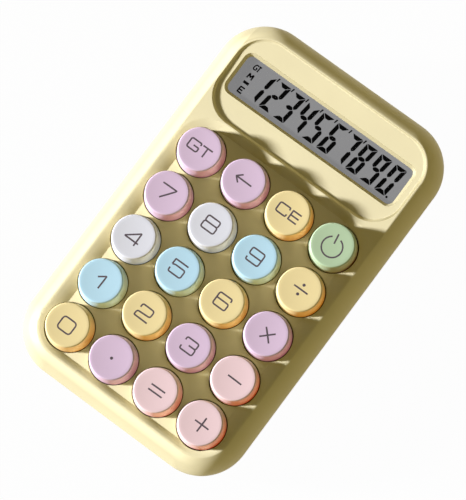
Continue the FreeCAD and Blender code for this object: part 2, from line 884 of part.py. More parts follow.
def make_battery_contacts():
    """A flat plate for the button end and a folded leaf for the other, each with a tail through the roof."""
    foot = door_ledge + contact_foot
    wide = contact_width / 2
    narrow = contact_tail / 2
    head = bay_ceiling - contact_wall_gap
    plus = block(plus_face, plus_face + contact_thickness, bay_y - wide, bay_y + wide, foot, head)
    tail = block(plus_face, plus_face + contact_thickness, bay_y - narrow, bay_y + narrow, foot, tail_top)
    touch_x = cell_minus_end - contact_gap - contact_thickness
    leaf_points = [
        Vector(-tail_x, tail_top, 0),
        Vector(-tail_x, foot, 0),
        Vector(touch_x, foot + leaf_lift, 0),
        Vector(touch_x - leaf_return_shift, foot + leaf_lift + leaf_return, 0),
    ]
    leaf = bent_strip(leaf_points, leaf_bend, contact_thickness, contact_tail)
    upright = Placement(Vector(0, bay_y, 0), Rotation(Vector(1, 0, 0), 90))
    return Part.makeCompound([plus.fuse(tail).removeSplitter(), placed(leaf, upright)])


def make_battery_leads():
    """Two insulated wires, each from beside a contact's tail up to the underside of the display board."""
    leads = []
    level = bay_top + lead_radius + lead_gap
    start_y = bay_y - contact_tail / 2
    to_bezel = display_frame.inverse()
    for side in (-1, 1):
        x = side * (tail_x - contact_thickness / 2 - lead_gap - lead_radius)
        start = to_bezel.multVec(Vector(x, start_y, level))
        turn = to_bezel.multVec(Vector(x, start_y + lead_run, level))
        end = Vector(x, turn.y, -display_board_end - lead_gap)
        run = (turn - start).normalize()
        rise = (end - turn).normalize()
        half_turn = run.getAngle(rise) / 2
        reach = lead_bend * math.tan(half_turn)
        bend_start = turn - run * reach
        bend_end = turn + rise * reach
        inward = (rise - run).normalize()
        middle = turn + inward * (lead_bend / math.cos(half_turn) - lead_bend)
        path = Part.Wire(
            [
                Part.LineSegment(start, bend_start).toShape(),
                Part.Arc(bend_start, middle, bend_end).toShape(),
                Part.LineSegment(bend_end, end).toShape(),
            ]
        )
        section = Part.Wire(Part.Circle(start, run, lead_radius).toShape())
        leads.append(placed(path.makePipeShell([section], True, False), display_frame))
    return Part.makeCompound(leads)


def tab_middles():
    return (-tab_spread / 2, tab_spread / 2)


def make_battery_door():
    """Plate flush with the underside: two hooked tabs at its front edge and a springy tongue at its back."""
    half = bay_half + bay_wall - door_gap
    front = hinge_y + door_gap
    back = bay_y + bay_side + bay_wall - door_gap
    top = foot_stand + door_thickness
    pieces = [block(-half, half, front, back, foot_stand, top)]
    hook_bottom = floor_top + tab_floor_gap
    hook_top = hook_bottom + tab_thickness
    for x in tab_middles():
        left = x - tab_width / 2
        right = x + tab_width / 2
        pieces.append(block(left, right, front, front + tab_thickness, foot_stand, hook_top))
        pieces.append(block(left, right, hinge_y - tab_reach, front + tab_thickness, hook_bottom, hook_top))
    cuts = []
    for side in (-1, 1):
        x = side * tongue_width / 2
        slit = tongue_slit / 2
        cuts.append(block(x - slit, x + slit, back - tongue_length, back, foot_stand, top))
    for index in range(grip_count):
        y = back - tongue_length + grip_pitch / 2 + grip_pitch * index
        reach = tongue_width / 2 - tongue_slit
        cuts.append(block(-reach, reach, y, y + grip_width, foot_stand, foot_stand + grip_depth))
    return joined(pieces).cut(cuts)


pieces = {
    "upper_case": make_upper_case(),
    "lower_case": make_lower_case(),
    "battery_door": make_battery_door(),
    "rubber_feet": make_feet(),
    "switch_housings": Part.makeCompound(at_every_key(make_housing())),
    "switch_springs": Part.makeCompound(at_every_key(make_spring())),
    "key_board": make_key_board(),
    "display_board": make_display_board(),
    "display_window": make_display_window(),
    "lcd_glass": make_lcd_glass(),
    "lcd_holder": make_lcd_holder(),
    "zebra_strip": make_zebra_strip(),
    "controller_chip": make_controller_chip(),
    "ribbon_cable": make_ribbon_cable(),
    "battery_cell": make_battery_cell(),
    "battery_contacts": make_battery_contacts(),
    "battery_leads": make_battery_leads(),
    "case_screws": make_case_screws(),
    "board_screws": make_board_screws(),
}
for kind, shape in (("keycap", make_keycap()), ("stem", make_stem())):
    for name, copy in zip(key_places, at_every_key(shape)):
        pieces[f"{kind}_{name}"] = copy

os.makedirs("parts", exist_ok=True)
for node, shape in pieces.items():
    shape.exportStep(f"parts/{node}.step")
    print(node, len(shape.Solids), shape.isValid(), round(shape.Volume, 2))
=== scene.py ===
"""Case, keys, legends, readout and stage of a desk calculator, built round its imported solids."""

import math
from collections import namedtuple

import bpy
from bpy.props import FloatProperty, FloatVectorProperty, PointerProperty
from mathutils import Euler, Matrix, Vector


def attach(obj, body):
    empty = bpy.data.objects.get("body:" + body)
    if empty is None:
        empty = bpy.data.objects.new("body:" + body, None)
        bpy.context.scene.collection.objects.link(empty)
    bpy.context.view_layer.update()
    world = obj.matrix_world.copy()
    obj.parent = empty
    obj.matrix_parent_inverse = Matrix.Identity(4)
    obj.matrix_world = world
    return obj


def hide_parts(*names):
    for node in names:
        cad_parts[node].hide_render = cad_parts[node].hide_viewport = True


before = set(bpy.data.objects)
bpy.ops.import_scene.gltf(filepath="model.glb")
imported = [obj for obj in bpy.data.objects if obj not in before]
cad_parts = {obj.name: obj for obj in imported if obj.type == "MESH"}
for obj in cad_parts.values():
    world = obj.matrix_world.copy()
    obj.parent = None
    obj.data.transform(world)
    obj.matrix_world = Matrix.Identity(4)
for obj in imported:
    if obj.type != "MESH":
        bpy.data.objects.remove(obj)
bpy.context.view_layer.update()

bl_info = {
    "name": "Desk Calculator",
    "version": (1, 0, 0),
    "blender": (4, 5, 0),
    "location": "3D View > Sidebar > Calculator",
    "description": "Builds the case, keys, legends, readout and stage of a desk calculator",
    "category": "Object",
}

MM = 0.001
RIGHT = Vector((1, 0, 0))
BACK = Vector((0, 1, 0))
UP = Vector((0, 0, 1))
# A face looks up or down when its normal keeps at least this share of that direction
STRAIGHT = 0.9
# How far a cutting tool reaches past the face that it opens
PAST = 1.0 * MM
# Angle through which a wave texture's bands turn over one metre at scale 1
WAVE_RADIANS = 20
# Places of the colours among the sockets of a Mix node
MIX_FIRST = 6
MIX_SECOND = 7
MIX_RESULT = 2

# Keys from the display row down to the front row, left to right
KEY_ROWS = (
    ("gt", "backspace", "ce", "power"),
    ("7", "8", "9", "divide"),
    ("4", "5", "6", "multiply"),
    ("1", "2", "3", "minus"),
    ("0", "point", "equals", "plus"),
)
KEY_FINISHES = {
    "lilac": ("gt", "backspace", "7", "multiply", "3", "point"),
    "yellow": ("ce", "divide", "6", "2", "0"),
    "green": ("power",),
    "white": ("8", "4"),
    "blue": ("9", "5", "1"),
    "pink": ("minus", "equals", "plus"),
}
FINISH_OF = {name: finish for finish, names in KEY_FINISHES.items() for name in names}

# A stroke is a centre line in millimetres from the middle of its key, with the radius of its corners
Stroke = namedtuple("Stroke", "points corner closed", defaults=(0.0, False))
Outline = namedtuple("Outline", "half low high corner")
LEGENDS = {
    "gt": (
        Stroke(((-0.4, 1.0), (-0.4, 1.9), (-4.55, 1.9), (-4.55, -1.75), (-0.4, -1.75), (-0.4, -0.1)), 0.7),
        Stroke(((-0.4, -0.1), (-2.6, -0.1))),
        Stroke(((0.3, 1.75), (4.35, 1.75))),
        Stroke(((2.25, 1.75), (2.25, -1.95))),
    ),
    "backspace": (
        Stroke(((-3.2, 0.0), (3.3, -0.1))),
        Stroke(((-1.3, 1.7), (-3.2, 0.0), (-1.4, -1.75))),
    ),
    "ce": (
        Stroke(((-0.1, 1.0), (-0.1, 1.85), (-4.25, 1.85), (-4.25, -1.7), (-0.1, -1.7), (-0.1, -0.75)), 0.8),
        Stroke(((4.6, 1.75), (1.1, 1.75), (1.1, -1.7), (4.6, -1.7))),
        Stroke(((1.1, 0.05), (4.5, 0.05))),
    ),
    "7": (Stroke(((-3.25, 2.3), (2.6, 2.4), (-1.35, -2.75))),),
    "8": (
        Stroke(((-2.65, 0.25), (-2.65, 2.5), (2.5, 2.5), (2.5, 0.25)), 0.8, True),
        Stroke(((-2.8, 0.25), (-2.8, -2.4), (2.6, -2.4), (2.6, 0.25)), 0.8, True),
    ),
    "9": (
        Stroke(((-2.45, -1.2), (-2.45, -2.4), (2.65, -2.4), (2.65, 2.5), (-2.55, 2.5), (-2.55, -0.05),
                (2.65, -0.05)), 0.8),
    ),
    "divide": (Stroke(((-2.5, 0.2), (3.25, 0.2))),),
    "4": (Stroke(((1.75, -2.75), (1.75, 2.35), (-3.0, -1.4), (2.8, -1.4))),),
    "5": (
        Stroke(((2.7, 2.5), (-2.6, 2.5), (-2.65, 0.35))),
        Stroke(((-2.65, 0.35), (-1.6, 0.72), (2.6, 0.72), (2.6, -2.4), (-2.6, -2.4), (-2.6, -0.95)), 0.8),
    ),
    "6": (
        Stroke(((2.7, 1.25), (2.65, 2.4), (-2.45, 2.4), (-2.45, -2.4), (2.65, -2.4), (2.65, 0.25),
                (-2.45, 0.25)), 0.8),
    ),
    "multiply": (
        Stroke(((-1.5, 1.9), (2.55, -2.3))),
        Stroke(((2.6, 1.75), (-1.5, -2.2))),
    ),
    "1": (Stroke(((-1.7, 0.55), (0.85, 2.4), (0.75, -2.75))),),
    "2": (
        Stroke(((-2.45, 0.9), (-2.4, 2.35), (2.5, 2.3), (2.5, -0.35), (-2.75, -0.6), (-2.8, -2.45)), 0.9),
        Stroke(((-2.8, -2.45), (2.75, -2.5))),
    ),
    "3": (
        Stroke(((-2.2, 1.05), (-2.2, 2.3), (2.75, 2.3), (2.75, 0.0), (-0.1, 0.0)), 0.8),
        Stroke(((-0.1, 0.0), (2.85, 0.0), (2.85, -2.45), (-2.3, -2.45), (-2.3, -1.2)), 0.8),
    ),
    "minus": (Stroke(((-2.2, -0.1), (3.5, -0.2))),),
    "0": (Stroke(((-2.8, -2.7), (-2.8, 2.15), (2.6, 2.15), (2.6, -2.7)), 1.3, True),),
    "equals": (
        Stroke(((-2.5, 1.0), (3.25, 1.1))),
        Stroke(((-2.5, -1.0), (3.25, -0.9))),
    ),
    "plus": (
        Stroke(((-2.1, -0.1), (3.65, -0.1))),
        Stroke(((0.8, 2.7), (0.75, -3.0))),
    ),
}
LEGEND_DOTS = {
    "divide": ((0.38, 2.05), (0.38, -1.7)),
    "point": ((0.15, -0.2),),
}
DOT_RADIUS = 0.55
SHARPEST_CORNER = 0.16
# The curve at a corner takes at most one part in this many of each side, just under half
SIDE_PARTS = 2.05
POWER_RING = {"middle": (0.25, -0.65), "radius": 3.7, "gap_from": 73.0, "gap_to": 123.0}
POWER_MARK = ((-0.45, 4.3), (0.15, 0.65))

# Lit bars of each digit, named clockwise from the top bar, with the middle bar last
READOUT_DIGITS = ("bc", "abged", "abgcd", "fgbc", "afgcd", "afgecd", "abc", "abcdefg", "abcdfg", "abcdef")
TICKED_DIGITS = 7
# Indicators, in millimetres from the lower left corner of the first digit
THIN_INDICATORS = (
    ((-1.7, 11.25), (-1.95, 11.45), (-2.6, 11.45), (-3.0, 10.75), (-3.1, 9.85), (-2.8, 9.55),
     (-2.2, 9.55), (-1.95, 9.85), (-1.9, 10.4), (-2.35, 10.4)),
    ((-1.6, 11.5), (-0.55, 11.5)),
    ((-1.05, 11.5), (-1.25, 9.35)),
)
BOLD_INDICATORS = (
    ((-3.05, 5.75), (-2.8, 7.9), (-2.1, 6.45), (-1.2, 7.9), (-1.25, 5.75)),
    ((-1.05, 2.05), (-2.7, 2.05), (-2.9, -0.05), (-1.15, -0.05)),
    ((-2.8, 1.0), (-1.4, 1.0)),
)
DASH_ENDS = ((-3.15, 4.05), (-0.9, 4.05))
DASH_WIDTH = 1.0


def linear(red, green, blue):
    """Scene-linear colour of a screen colour given in 0 to 255."""
    shares = [value / 255 for value in (red, green, blue)]
    return tuple(part / 12.92 if part <= 0.04045 else ((part + 0.055) / 1.055) ** 2.4 for part in shares)


def length(name, description, millimetres):
    return FloatProperty(
        name=name, description=description, default=millimetres * MM, unit="LENGTH", precision=5
    )


def angle(name, description, degrees):
    return FloatProperty(name=name, description=description, default=math.radians(degrees), subtype="ANGLE")


def share(name, description, value):
    return FloatProperty(
        name=name, description=description, default=value, min=0.0, max=1.0, subtype="FACTOR"
    )


def amount(name, description, value):
    return FloatProperty(name=name, description=description, default=value)


def tint(name, description, red, green, blue):
    return FloatVectorProperty(
        name=name, description=description, default=linear(red, green, blue),
        size=3, min=0, max=1, subtype="COLOR"
    )


class CaseSizes(bpy.types.PropertyGroup):
    """Sizes of the moulded upper case, in the frame of the sloping key deck"""

    deck_y: length("Deck place", "Where the middle of the key grid stands along the desk", -18.4923)
    deck_z: length("Deck height", "How high the middle of the key grid stands", 22.5017)
    deck_tilt: angle("Deck tilt", "Slope of the key deck", 5)
    half: length("Half width", "From the middle line to the side of the case", 45.9)
    front: length("Front edge", "Front edge of the case along the deck", -55.6)
    back: length("Back edge", "Back edge of the case along the deck", 91.8)
    corner: length("Corner radius", "Round corners seen from above", 18)
    crest: length("Crest", "Height of the rim's crest over the key deck", 1.5)
    rim_width: length("Rim width", "Width of the rolled rim", 6.1)
    rim_top_tilt: angle("Rim slope at the crest", "Slope of the rim where it leaves the crest", 22)
    rim_edge_tilt: angle("Rim slope at the edge", "Slope of the rim where it meets the side", 72)
    rim_land: length("Rim land", "Upright band between the rim and the parting line", 0.5)
    crest_land: length("Crest land", "Flat band between the rim and the recesses", 0.3)
    recess_half: length("Recess half width", "Half width of the flat key deck", 34.575)
    recess_front: length("Recess front", "Front end of the flat key deck", -46.6)
    recess_back: length("Recess back", "Back end of the flat key deck", 48.0)
    recess_corner: length("Recess corner", "Corner radius of the flat key deck", 10.5)
    recess_swell: share("Recess swell", "How full the recess wall is half way up", 0.63)
    ridge_wall: length("Ridge wall", "Width of the wall that climbs from the deck to the ridge", 3.1)
    ridge_land: length("Ridge land", "Flat top of the ridge between the keys and the display", 0.5)
    bezel_half: length("Bezel half width", "Half width of the display floor", 38.8)
    bezel_length: length("Bezel length", "Length of the display floor along its slope", 32.6097)
    bezel_step: length("Bezel step", "Drop from the crest to the display floor's back edge", 0.4)
    bezel_tilt: angle("Bezel tilt", "Slope of the display floor against the key deck", 1.4)
    bezel_thickness: length("Bezel thickness", "Wall round the window", 1.2)
    window_half: length("Window half width", "Half width of the display opening", 36.8)
    window_margin: length("Window margin", "Display floor behind the opening", 7.3)
    window_length: length("Window length", "Length of the opening along the slope", 17.2)
    window_corner: length("Window corner", "Corner radius of the opening", 3.3)
    window_draft: length("Window draft", "How far the opening's walls lean in", 1.1)
    lens_thickness: length("Pane thickness", "Clear pane under the window", 0.8)
    lens_overlap: length("Pane overlap", "How far the pane reaches under the bezel", 1.2)
    lens_gap: length("Pane gap", "Room round the pane in its seat", 0.15)
    deck_thickness: length("Deck thickness", "Wall under the key deck", 2.0)
    rim_wall: length("Rim wall", "Wall of the rim at the parting line", 1.2)
    rebate: length("Rebate", "Depth of the step that takes the lower case's lip", 1.4)
    shoulder: length("Shoulder", "Wall of the case over the rebate", 2.6)
    cavity_inset: length("Cavity inset", "Wall of the case just under the deck", 5.5)
    rib: length("Rib", "Solid part in front of the display floor", 4.8)
    cavity_depth: length("Readout room", "Depth of the room for the readout", 10)
    edge_round: length("Edge rounding", "Radius of the display pocket's softened edges", 0.18)


class KeySizes(bpy.types.PropertyGroup):
    """Sizes of the key tops and their printed legends"""

    pitch: length("Pitch", "Distance between neighbouring keys", 19.05)
    radius: length("Radius", "Radius at the foot of the key", 8.6)
    taper: length("Taper", "How much narrower the crown is than the foot", 0.75)
    height: length("Height", "Height of the crown over the deck", 7.2)
    edge_round: length("Edge rounding", "Radius of the crown's edge", 0.55)
    dish: length("Dish", "Depth of the hollow in the crown", 0.16)
    skirt: length("Skirt", "How far the skirt reaches into its hole", 1.0)
    hole: length("Hole radius", "Radius of the holes in the deck", 8.9)
    lead_in: length("Lead-in", "Softened edge of the holes", 0.18)
    wall: length("Wall", "Thickness of the skirt", 1.0)
    ceiling: length("Ceiling", "Height of the hollow's ceiling over the deck", 5.7)
    post_radius: length("Post radius", "Radius of the socket post", 2.6)
    post_foot: length("Post foot", "Height of the post's lower end over the deck", 1.55)
    socket_length: length("Socket length", "Length of the cross socket", 4.1)
    socket_width: length("Socket width", "Width of the cross socket", 1.35)
    socket_top: length("Socket top", "Height of the socket's inner end over the deck", 5.15)
    stroke: length("Stroke", "Width of the printed strokes", 0.58)
    ink: length("Ink", "Height of the printed ink", 0.03)
    # Direction of the keys' side that gets the painted glow
    painted_glow_heading: angle("Far side", "Direction that the warm side of the keys faces, round from the right", 340)


class ReadoutSizes(bpy.types.PropertyGroup):
    """Sizes of the lit bars on the readout, measured on the display floor"""

    left: length("First digit", "Left end of the first digit at its foot", -29.04)
    base: length("Base line", "Foot of the digits, from the display floor's back edge", -21.55)
    pitch: length("Pitch", "Distance between digits", 6.26)
    width: length("Width", "Width of a digit", 4.65)
    height: length("Height", "Height of a digit", 11.65)
    bar: length("Bar", "Thickness of a bar", 1.52)
    gap: length("Gap", "Room between two bars, each side", 0.13)
    corner: length("Bar corner", "Rounding of a bar's corners", 0.26)
    lean: share("Lean", "How far the digits lean to the right", 0.126)
    tick_rise: length("Tick rise", "Height of a separator tick", 1.5)
    tick_width: length("Tick width", "Width of a separator tick", 0.6)
    dot: length("Dot", "Radius of the point", 0.44)
    thin: length("Thin stroke", "Stroke width of the upper indicator", 0.5)
    bold: length("Bold stroke", "Stroke width of the lower indicators", 0.62)
    film: length("Film", "Thickness of the lit bars", 0.03)


class Colours(bpy.types.PropertyGroup):
    """Colours of the parts that show"""

    case: tint("Case", "Cream plastic of both half shells", 240, 231, 195)
    # Rim tone is painted shade: it darkens the rolled rim only on the side that faces the lamp
    rim: tint("Rim tone", "How the rolled rim deepens the cream", 214, 213, 210)
    # Pocket tone is painted shade: it darkens the display pocket's steep walls only where they face the lamp
    pocket: tint("Pocket tone", "How the display pocket's walls deepen the cream", 200, 198, 186)
    bounce: tint("Key bounce", "Colour of the light that the keys throw on the deck", 229, 220, 186)
    edge_bounce: tint("Edge bounce", "The same for the outer side of the left and front keys", 186, 178, 150)
    lilac: tint("Lilac keys", "Plastic of the lilac keys", 214, 191, 223)
    yellow: tint("Yellow keys", "Plastic of the yellow keys", 236, 219, 168)
    green: tint("Green key", "Plastic of the power key", 179, 204, 174)
    white: tint("White keys", "Plastic of the white keys", 222, 225, 242)
    blue: tint("Blue keys", "Plastic of the light blue keys", 184, 222, 248)
    pink: tint("Pink keys", "Plastic of the pale pink keys", 234, 207, 218)
    # The glow colours below are a painted glow: emission on each key's far, shaded side, seen by camera rays
    # only
    lilac_glow: tint("Lilac glow", "Light in the far wall of the lilac keys", 122, 58, 72)
    yellow_glow: tint("Yellow glow", "Light in the far wall of the yellow keys", 144, 72, 0)
    green_glow: tint("Green glow", "Light in the far wall of the power key", 63, 0, 0)
    white_glow: tint("White glow", "Light in the far wall of the white keys", 105, 112, 116)
    blue_glow: tint("Blue glow", "Light in the far wall of the blue keys", 118, 104, 45)
    pink_glow: tint("Pink glow", "Light in the far wall of the pink keys", 144, 33, 0)
    ink: tint("Ink", "Printed legends", 88, 78, 88)
    # Readout gives both the face's dark base and its painted glow
    readout: tint("Readout", "Face of the readout", 138, 138, 140)
    bars: tint("Bars", "Lit bars of the readout", 4, 4, 4)


class StageSettings(bpy.types.PropertyGroup):
    """Camera, lamp, room light and floor"""

    eye: FloatVectorProperty(
        name="Camera place", description="Where the camera stands", default=(0.128284, -0.158258, 0.907306),
        size=3, unit="LENGTH", subtype="TRANSLATION"
    )
    turn: FloatVectorProperty(
        name="Camera turn", description="How the camera is turned",
        default=tuple(math.radians(a) for a in (12.872527, 0.513484, 36.838797)), size=3, subtype="EULER"
    )
    lens: amount("Focal length", "Focal length in millimetres", 187.879)
    sensor: amount("Sensor", "Width of the camera's sensor in millimetres", 36)
    nearest: length("Nearest", "Where the camera's view begins", 10)
    lamp_heading: angle("Lamp heading", "Direction to the main lamp, round from the right", 210.5)
    lamp_height: angle("Lamp height", "Height of the main lamp over the key deck", 19.5)
    lamp_strength: amount("Lamp strength", "Light of the main lamp", 7.6)
    lamp_softness: angle("Lamp softness", "Width of the main lamp as the part sees it", 6)
    fill: amount("Fill", "Light of the room near the horizon", 0.93)
    fill_top: amount("Fill from above", "Light of the room overhead", 0.02)
    fill_colour: tint("Fill colour", "Colour of the room's light", 255, 231, 122)
    floor: length("Floor", "Half width of the floor", 1500)
    paper: FloatVectorProperty(
        name="Floor paper", description="Colour of the floor where the part's light meets it",
        default=(0.4, 0.4, 0.4), size=3, min=0, max=1, subtype="COLOR"
    )
    floor_white: share("Floor white", "How much of the floor's white is its own", 0.98)
    floor_gap: length("Floor gap", "How far the floor lies under the feet", 0.05)
    under_light: share("Light below", "Light that the floor gives to the underside", 0.4)
    under_margin: length("Light below margin", "How far that light stays inside the outline", 6)


def deselect():
    bpy.ops.object.select_all(action="DESELECT")


def pick(piece):
    """Makes one piece the only selected one."""
    deselect()
    piece.select_set(True)
    bpy.context.view_layer.objects.active = piece


def edit_mode():
    bpy.ops.object.mode_set(mode="EDIT")
    bpy.ops.mesh.select_mode(type="FACE")


def object_mode():
    bpy.ops.object.mode_set(mode="OBJECT")


def faces_up(face):
    return face.normal.z > STRAIGHT


def faces_down(face):
    return face.normal.z < -STRAIGHT


def select_faces(piece, wanted):
    """Selects the faces that the test accepts, from object mode, and goes into edit mode."""
    edit_mode()
    bpy.ops.mesh.select_all(action="DESELECT")
    object_mode()
    found = 0
    for face in piece.data.polygons:
        face.select = bool(wanted(face))
        found += face.select
    if not found:
        raise RuntimeError(f"no face to shape on {piece.name}")
    edit_mode()


def round_corners(radius, steps):
    """Rounds the corners of the active flat piece and stays in edit mode with its face selected."""
    bpy.ops.object.mode_set(mode="EDIT")
    bpy.ops.mesh.select_mode(type="VERT")
    bpy.ops.mesh.select_all(action="SELECT")
    bpy.ops.mesh.bevel(offset=radius, segments=steps, affect="VERTICES")
    bpy.ops.mesh.select_mode(type="FACE")
    bpy.ops.mesh.select_all(action="SELECT")


def round_plate(name, outline, level, steps):
    """A flat plate with four round corners, left in edit mode with its face selected."""
    deselect()
    middle = (outline.low + outline.high) / 2
    bpy.ops.mesh.primitive_plane_add(size=1, location=(0, middle, level))
    plate = bpy.context.object
    plate.name = name
    plate.scale = (2 * outline.half, outline.high - outline.low, 1)
    bpy.ops.object.transform_apply()
    round_corners(outline.corner, steps)
    return plate


def extrude(rise, along=0.0):
    bpy.ops.mesh.extrude_region_move(TRANSFORM_OT_translate={"value": (0, along, rise)})


def resize_face(size, level):
    """Scales the selected face about the middle of its level."""
    bpy.ops.transform.resize(value=(size, size, 1), center_override=(0, 0, level))


def quarter_arc(radius, inward, upward, steps):
    """Points of a quarter arc as distance inward and rise, each a function of the turn."""
    turns = [math.radians(90) * step / steps for step in range(1, steps + 1)]
    return [(radius * inward(turn), radius * upward(turn)) for turn in turns]


def inset_along(profile):
    """Insets the selected face along a profile of distances inward and rises."""
    across, rise = 0.0, 0.0
    for next_across, next_rise in profile:
        bpy.ops.mesh.inset(thickness=next_across - across, depth=next_rise - rise)
        across, rise = next_across, next_rise


def round_block(name, outline, bottom, top, steps):
    """A closed block with four round corners, in object mode."""
    plate = round_plate(name, outline, bottom, steps)
    extrude(top - bottom)
    object_mode()
    return plate


def box_block(name, low, high):
    deselect()
    low, high = Vector(low), Vector(high)
    bpy.ops.mesh.primitive_cube_add(size=1, location=(low + high) / 2)
    cube = bpy.context.object
    cube.name = name
    cube.scale = high - low
    bpy.ops.object.transform_apply()
    return cube


def drum(name, x, y, radius, bottom, top, sides):
    deselect()
    bpy.ops.mesh.primitive_cylinder_add(
        vertices=sides, radius=radius, depth=top - bottom, location=(x, y, (bottom + top) / 2)
    )
    piece = bpy.context.object
    piece.name = name
    bpy.ops.object.transform_apply()
    return piece


def join(pieces):
    deselect()
    for piece in pieces:
        piece.select_set(True)
    bpy.context.view_layer.objects.active = pieces[0]
    bpy.ops.object.join()
    return pieces[0]


def place(piece, matrix):
    """Moves a piece's mesh by a matrix and leaves its object at the origin."""
    piece.matrix_world = matrix
    pick(piece)
    bpy.ops.object.transform_apply()
    return piece


def apply_modifier(piece, kind, **settings):
    modifier = piece.modifiers.new(kind.lower(), kind)
    for key, value in settings.items():
        setattr(modifier, key, value)
    pick(piece)
    bpy.ops.object.modifier_apply(modifier=modifier.name)


def carve(piece, tool, operation="DIFFERENCE"):
    apply_modifier(piece, "BOOLEAN", operation=operation, object=tool, solver="EXACT")
    bpy.data.objects.remove(tool)


def clean(piece, merge=0.5e-6):
    pick(piece)
    edit_mode()
    bpy.ops.mesh.select_all(action="SELECT")
    bpy.ops.mesh.remove_doubles(threshold=merge)
    bpy.ops.mesh.normals_make_consistent(inside=False)
    object_mode()


def smooth(piece, hard_from):
    """Shades a piece smooth, but for edges whose faces turn by this many degrees or more."""
    pick(piece)
    bpy.ops.object.shade_smooth_by_angle(angle=math.radians(hard_from))


def copy_of(piece, name):
    copy = piece.copy()
    copy.data = piece.data.copy()
    copy.name = name
    bpy.context.scene.collection.objects.link(copy)
    return copy


def finish_piece(piece, material, body):
    piece.data.materials.clear()
    piece.data.materials.append(material)
    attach(piece, body)


def key_places(keys):
    """Middle of each key on the deck."""
    places = {}
    for row, names in enumerate(KEY_ROWS):
        for column, name in enumerate(names):
            x = (column - (len(names) - 1) / 2) * keys.pitch
            y = ((len(KEY_ROWS) - 1) / 2 - row) * keys.pitch
            places[name] = (x, y)
    return places


def deck_matrix(case):
    """From the deck's frame to the row frame."""
    return Matrix.Translation((0, case.deck_y, case.deck_z)) @ Matrix.Rotation(case.deck_tilt, 4, "X")


def bezel_in_deck(case):
    """From the display floor's frame to the deck's frame."""
    back = case.back - case.rim_width - case.crest_land - case.bezel_step
    spot = Matrix.Translation((0, back, case.crest - case.bezel_step))
    return spot @ Matrix.Rotation(case.bezel_tilt, 4, "X")


def bezel_matrix(case):
    return deck_matrix(case) @ bezel_in_deck(case)


def slab_depth(case):
    """Depth of the bezel's wall and the pane under it."""
    return case.bezel_thickness + case.lens_thickness


def body_outline(case, inset=0.0):
    return Outline(case.half - inset, case.front + inset, case.back - inset, case.corner - inset)


def window_outline(case, grow=0.0):
    low = -case.window_margin - case.window_length
    return Outline(
        case.window_half + grow, low - grow, grow - case.window_margin, case.window_corner + grow
    )


def pane_outline(case, room=0.0):
    """Outline of the clear pane, or of a space with some room round it."""
    return window_outline(case, case.lens_overlap - case.window_draft + room)


# Finishes

def feed(socket, value):
    """Gives an input a value, or links another node's output to it."""
    if isinstance(value, bpy.types.NodeSocket):
        socket.id_data.links.new(value, socket)
    elif socket.type == "RGBA":
        socket.default_value = (*value, 1)
    else:
        socket.default_value = value


def add_node(tree, kind, given=None, **settings):
    """The outputs of a new node, whose inputs are given by name or place."""
    node = tree.nodes.new(f"ShaderNode{kind}")
    for name, value in settings.items():
        setattr(node, name, value)
    for slot, value in (given or {}).items():
        feed(node.inputs[slot], value)
    return node.outputs


def noise(spot, scale, detail=2.0, stretch=None):
    tree = spot.id_data
    if stretch:
        spot = add_node(tree, "Mapping", {"Vector": spot, "Scale": stretch})["Vector"]
    return add_node(tree, "TexNoise", {"Vector": spot, "Scale": scale, "Detail": detail})["Fac"]


def spread(factor, low=0.0, high=1.0, start=0.3, end=0.7):
    """Maps values from start to end onto low to high; without other ends it takes the middle of a noise."""
    given = {"Value": factor, "From Min": start, "From Max": end, "To Min": low, "To Max": high}
    return add_node(factor.id_data, "MapRange", given)["Result"]


def blend_colour(factor, low, high, how="MIX"):
    given = {"Factor": factor, MIX_FIRST: low, MIX_SECOND: high}
    return add_node(factor.id_data, "Mix", given, data_type="RGBA", blend_type=how)[MIX_RESULT]


def mix_shaders(factor, first, second):
    return add_node(factor.id_data, "MixShader", {"Fac": factor, 1: first, 2: second})["Shader"]


def maths(operation, *values):
    return add_node(values[0].id_data, "Math", dict(enumerate(values)), operation=operation)["Value"]


def product(first, *others):
    for other in others:
        first = maths("MULTIPLY", first, other)
    return first


def turned_to(vector, toward):
    """How far a vector points in a direction."""
    return add_node(vector.id_data, "VectorMath", {0: vector, 1: toward}, operation="DOT_PRODUCT")["Value"]


def scaled(colour, amount):
    return tuple(min(1.0, channel * amount) for channel in colour)


def mottled(factor, colour, low, high):
    """A colour that wanders between two of its own shades as a noise does."""
    return blend_colour(spread(factor), scaled(colour, low), scaled(colour, high))


def around(middle, reach):
    return middle - reach, middle + reach


def begin_finish(name):
    """A new material and the place of its points in their object."""
    material = bpy.data.materials.new(name)
    material.use_nodes = True
    return material, add_node(material.node_tree, "TexCoord")["Object"]


def shader_input(material, name):
    return material.node_tree.nodes["Principled BSDF"].inputs[name]


def dress(material, base, gloss, height, depth, strength, specular=0.5, metallic=0.0, alpha=1.0):
    """Feeds a finish's shader with its colour, gloss, relief and the values that stay even."""
    bump = {"Height": height, "Distance": depth, "Strength": strength}
    given = {
        "Base Color": base,
        "Roughness": gloss,
        "Normal": add_node(material.node_tree, "Bump", bump)["Normal"],
        "Specular IOR Level": specular,
        "Metallic": metallic,
        "Alpha": alpha,
    }
    for name, value in given.items():
        feed(shader_input(material, name), value)
    return material


def rebase(material, factor, colour, how):
    """Blends a colour into a finish's own base colour."""
    base = shader_input(material, "Base Color")
    feed(base, blend_colour(factor, base.links[0].from_socket, colour, how))


def moulded_plastic(name, colour, roughness, mottle=0.03):
    """Satin moulded plastic: faint flow clouds, fine spark-eroded grain and uneven gloss."""
    material, spot = begin_finish(name)
    base = mottled(noise(spot, scale=45.0, detail=3.0), colour, *around(1, mottle))
    gloss = spread(noise(spot, scale=160.0, detail=4.0), *around(roughness, 0.05))
    grain = noise(spot, scale=3200.0, detail=3.0)
    return dress(material, base, gloss, grain, depth=0.006 * MM, strength=0.35, specular=0.35)


def level_direction(case, heading):
    """Direction along the key deck, round from the right."""
    return deck_matrix(case).to_3x3() @ Vector((math.cos(heading), math.sin(heading), 0))


def deck_up(case):
    return deck_matrix(case).to_3x3() @ UP


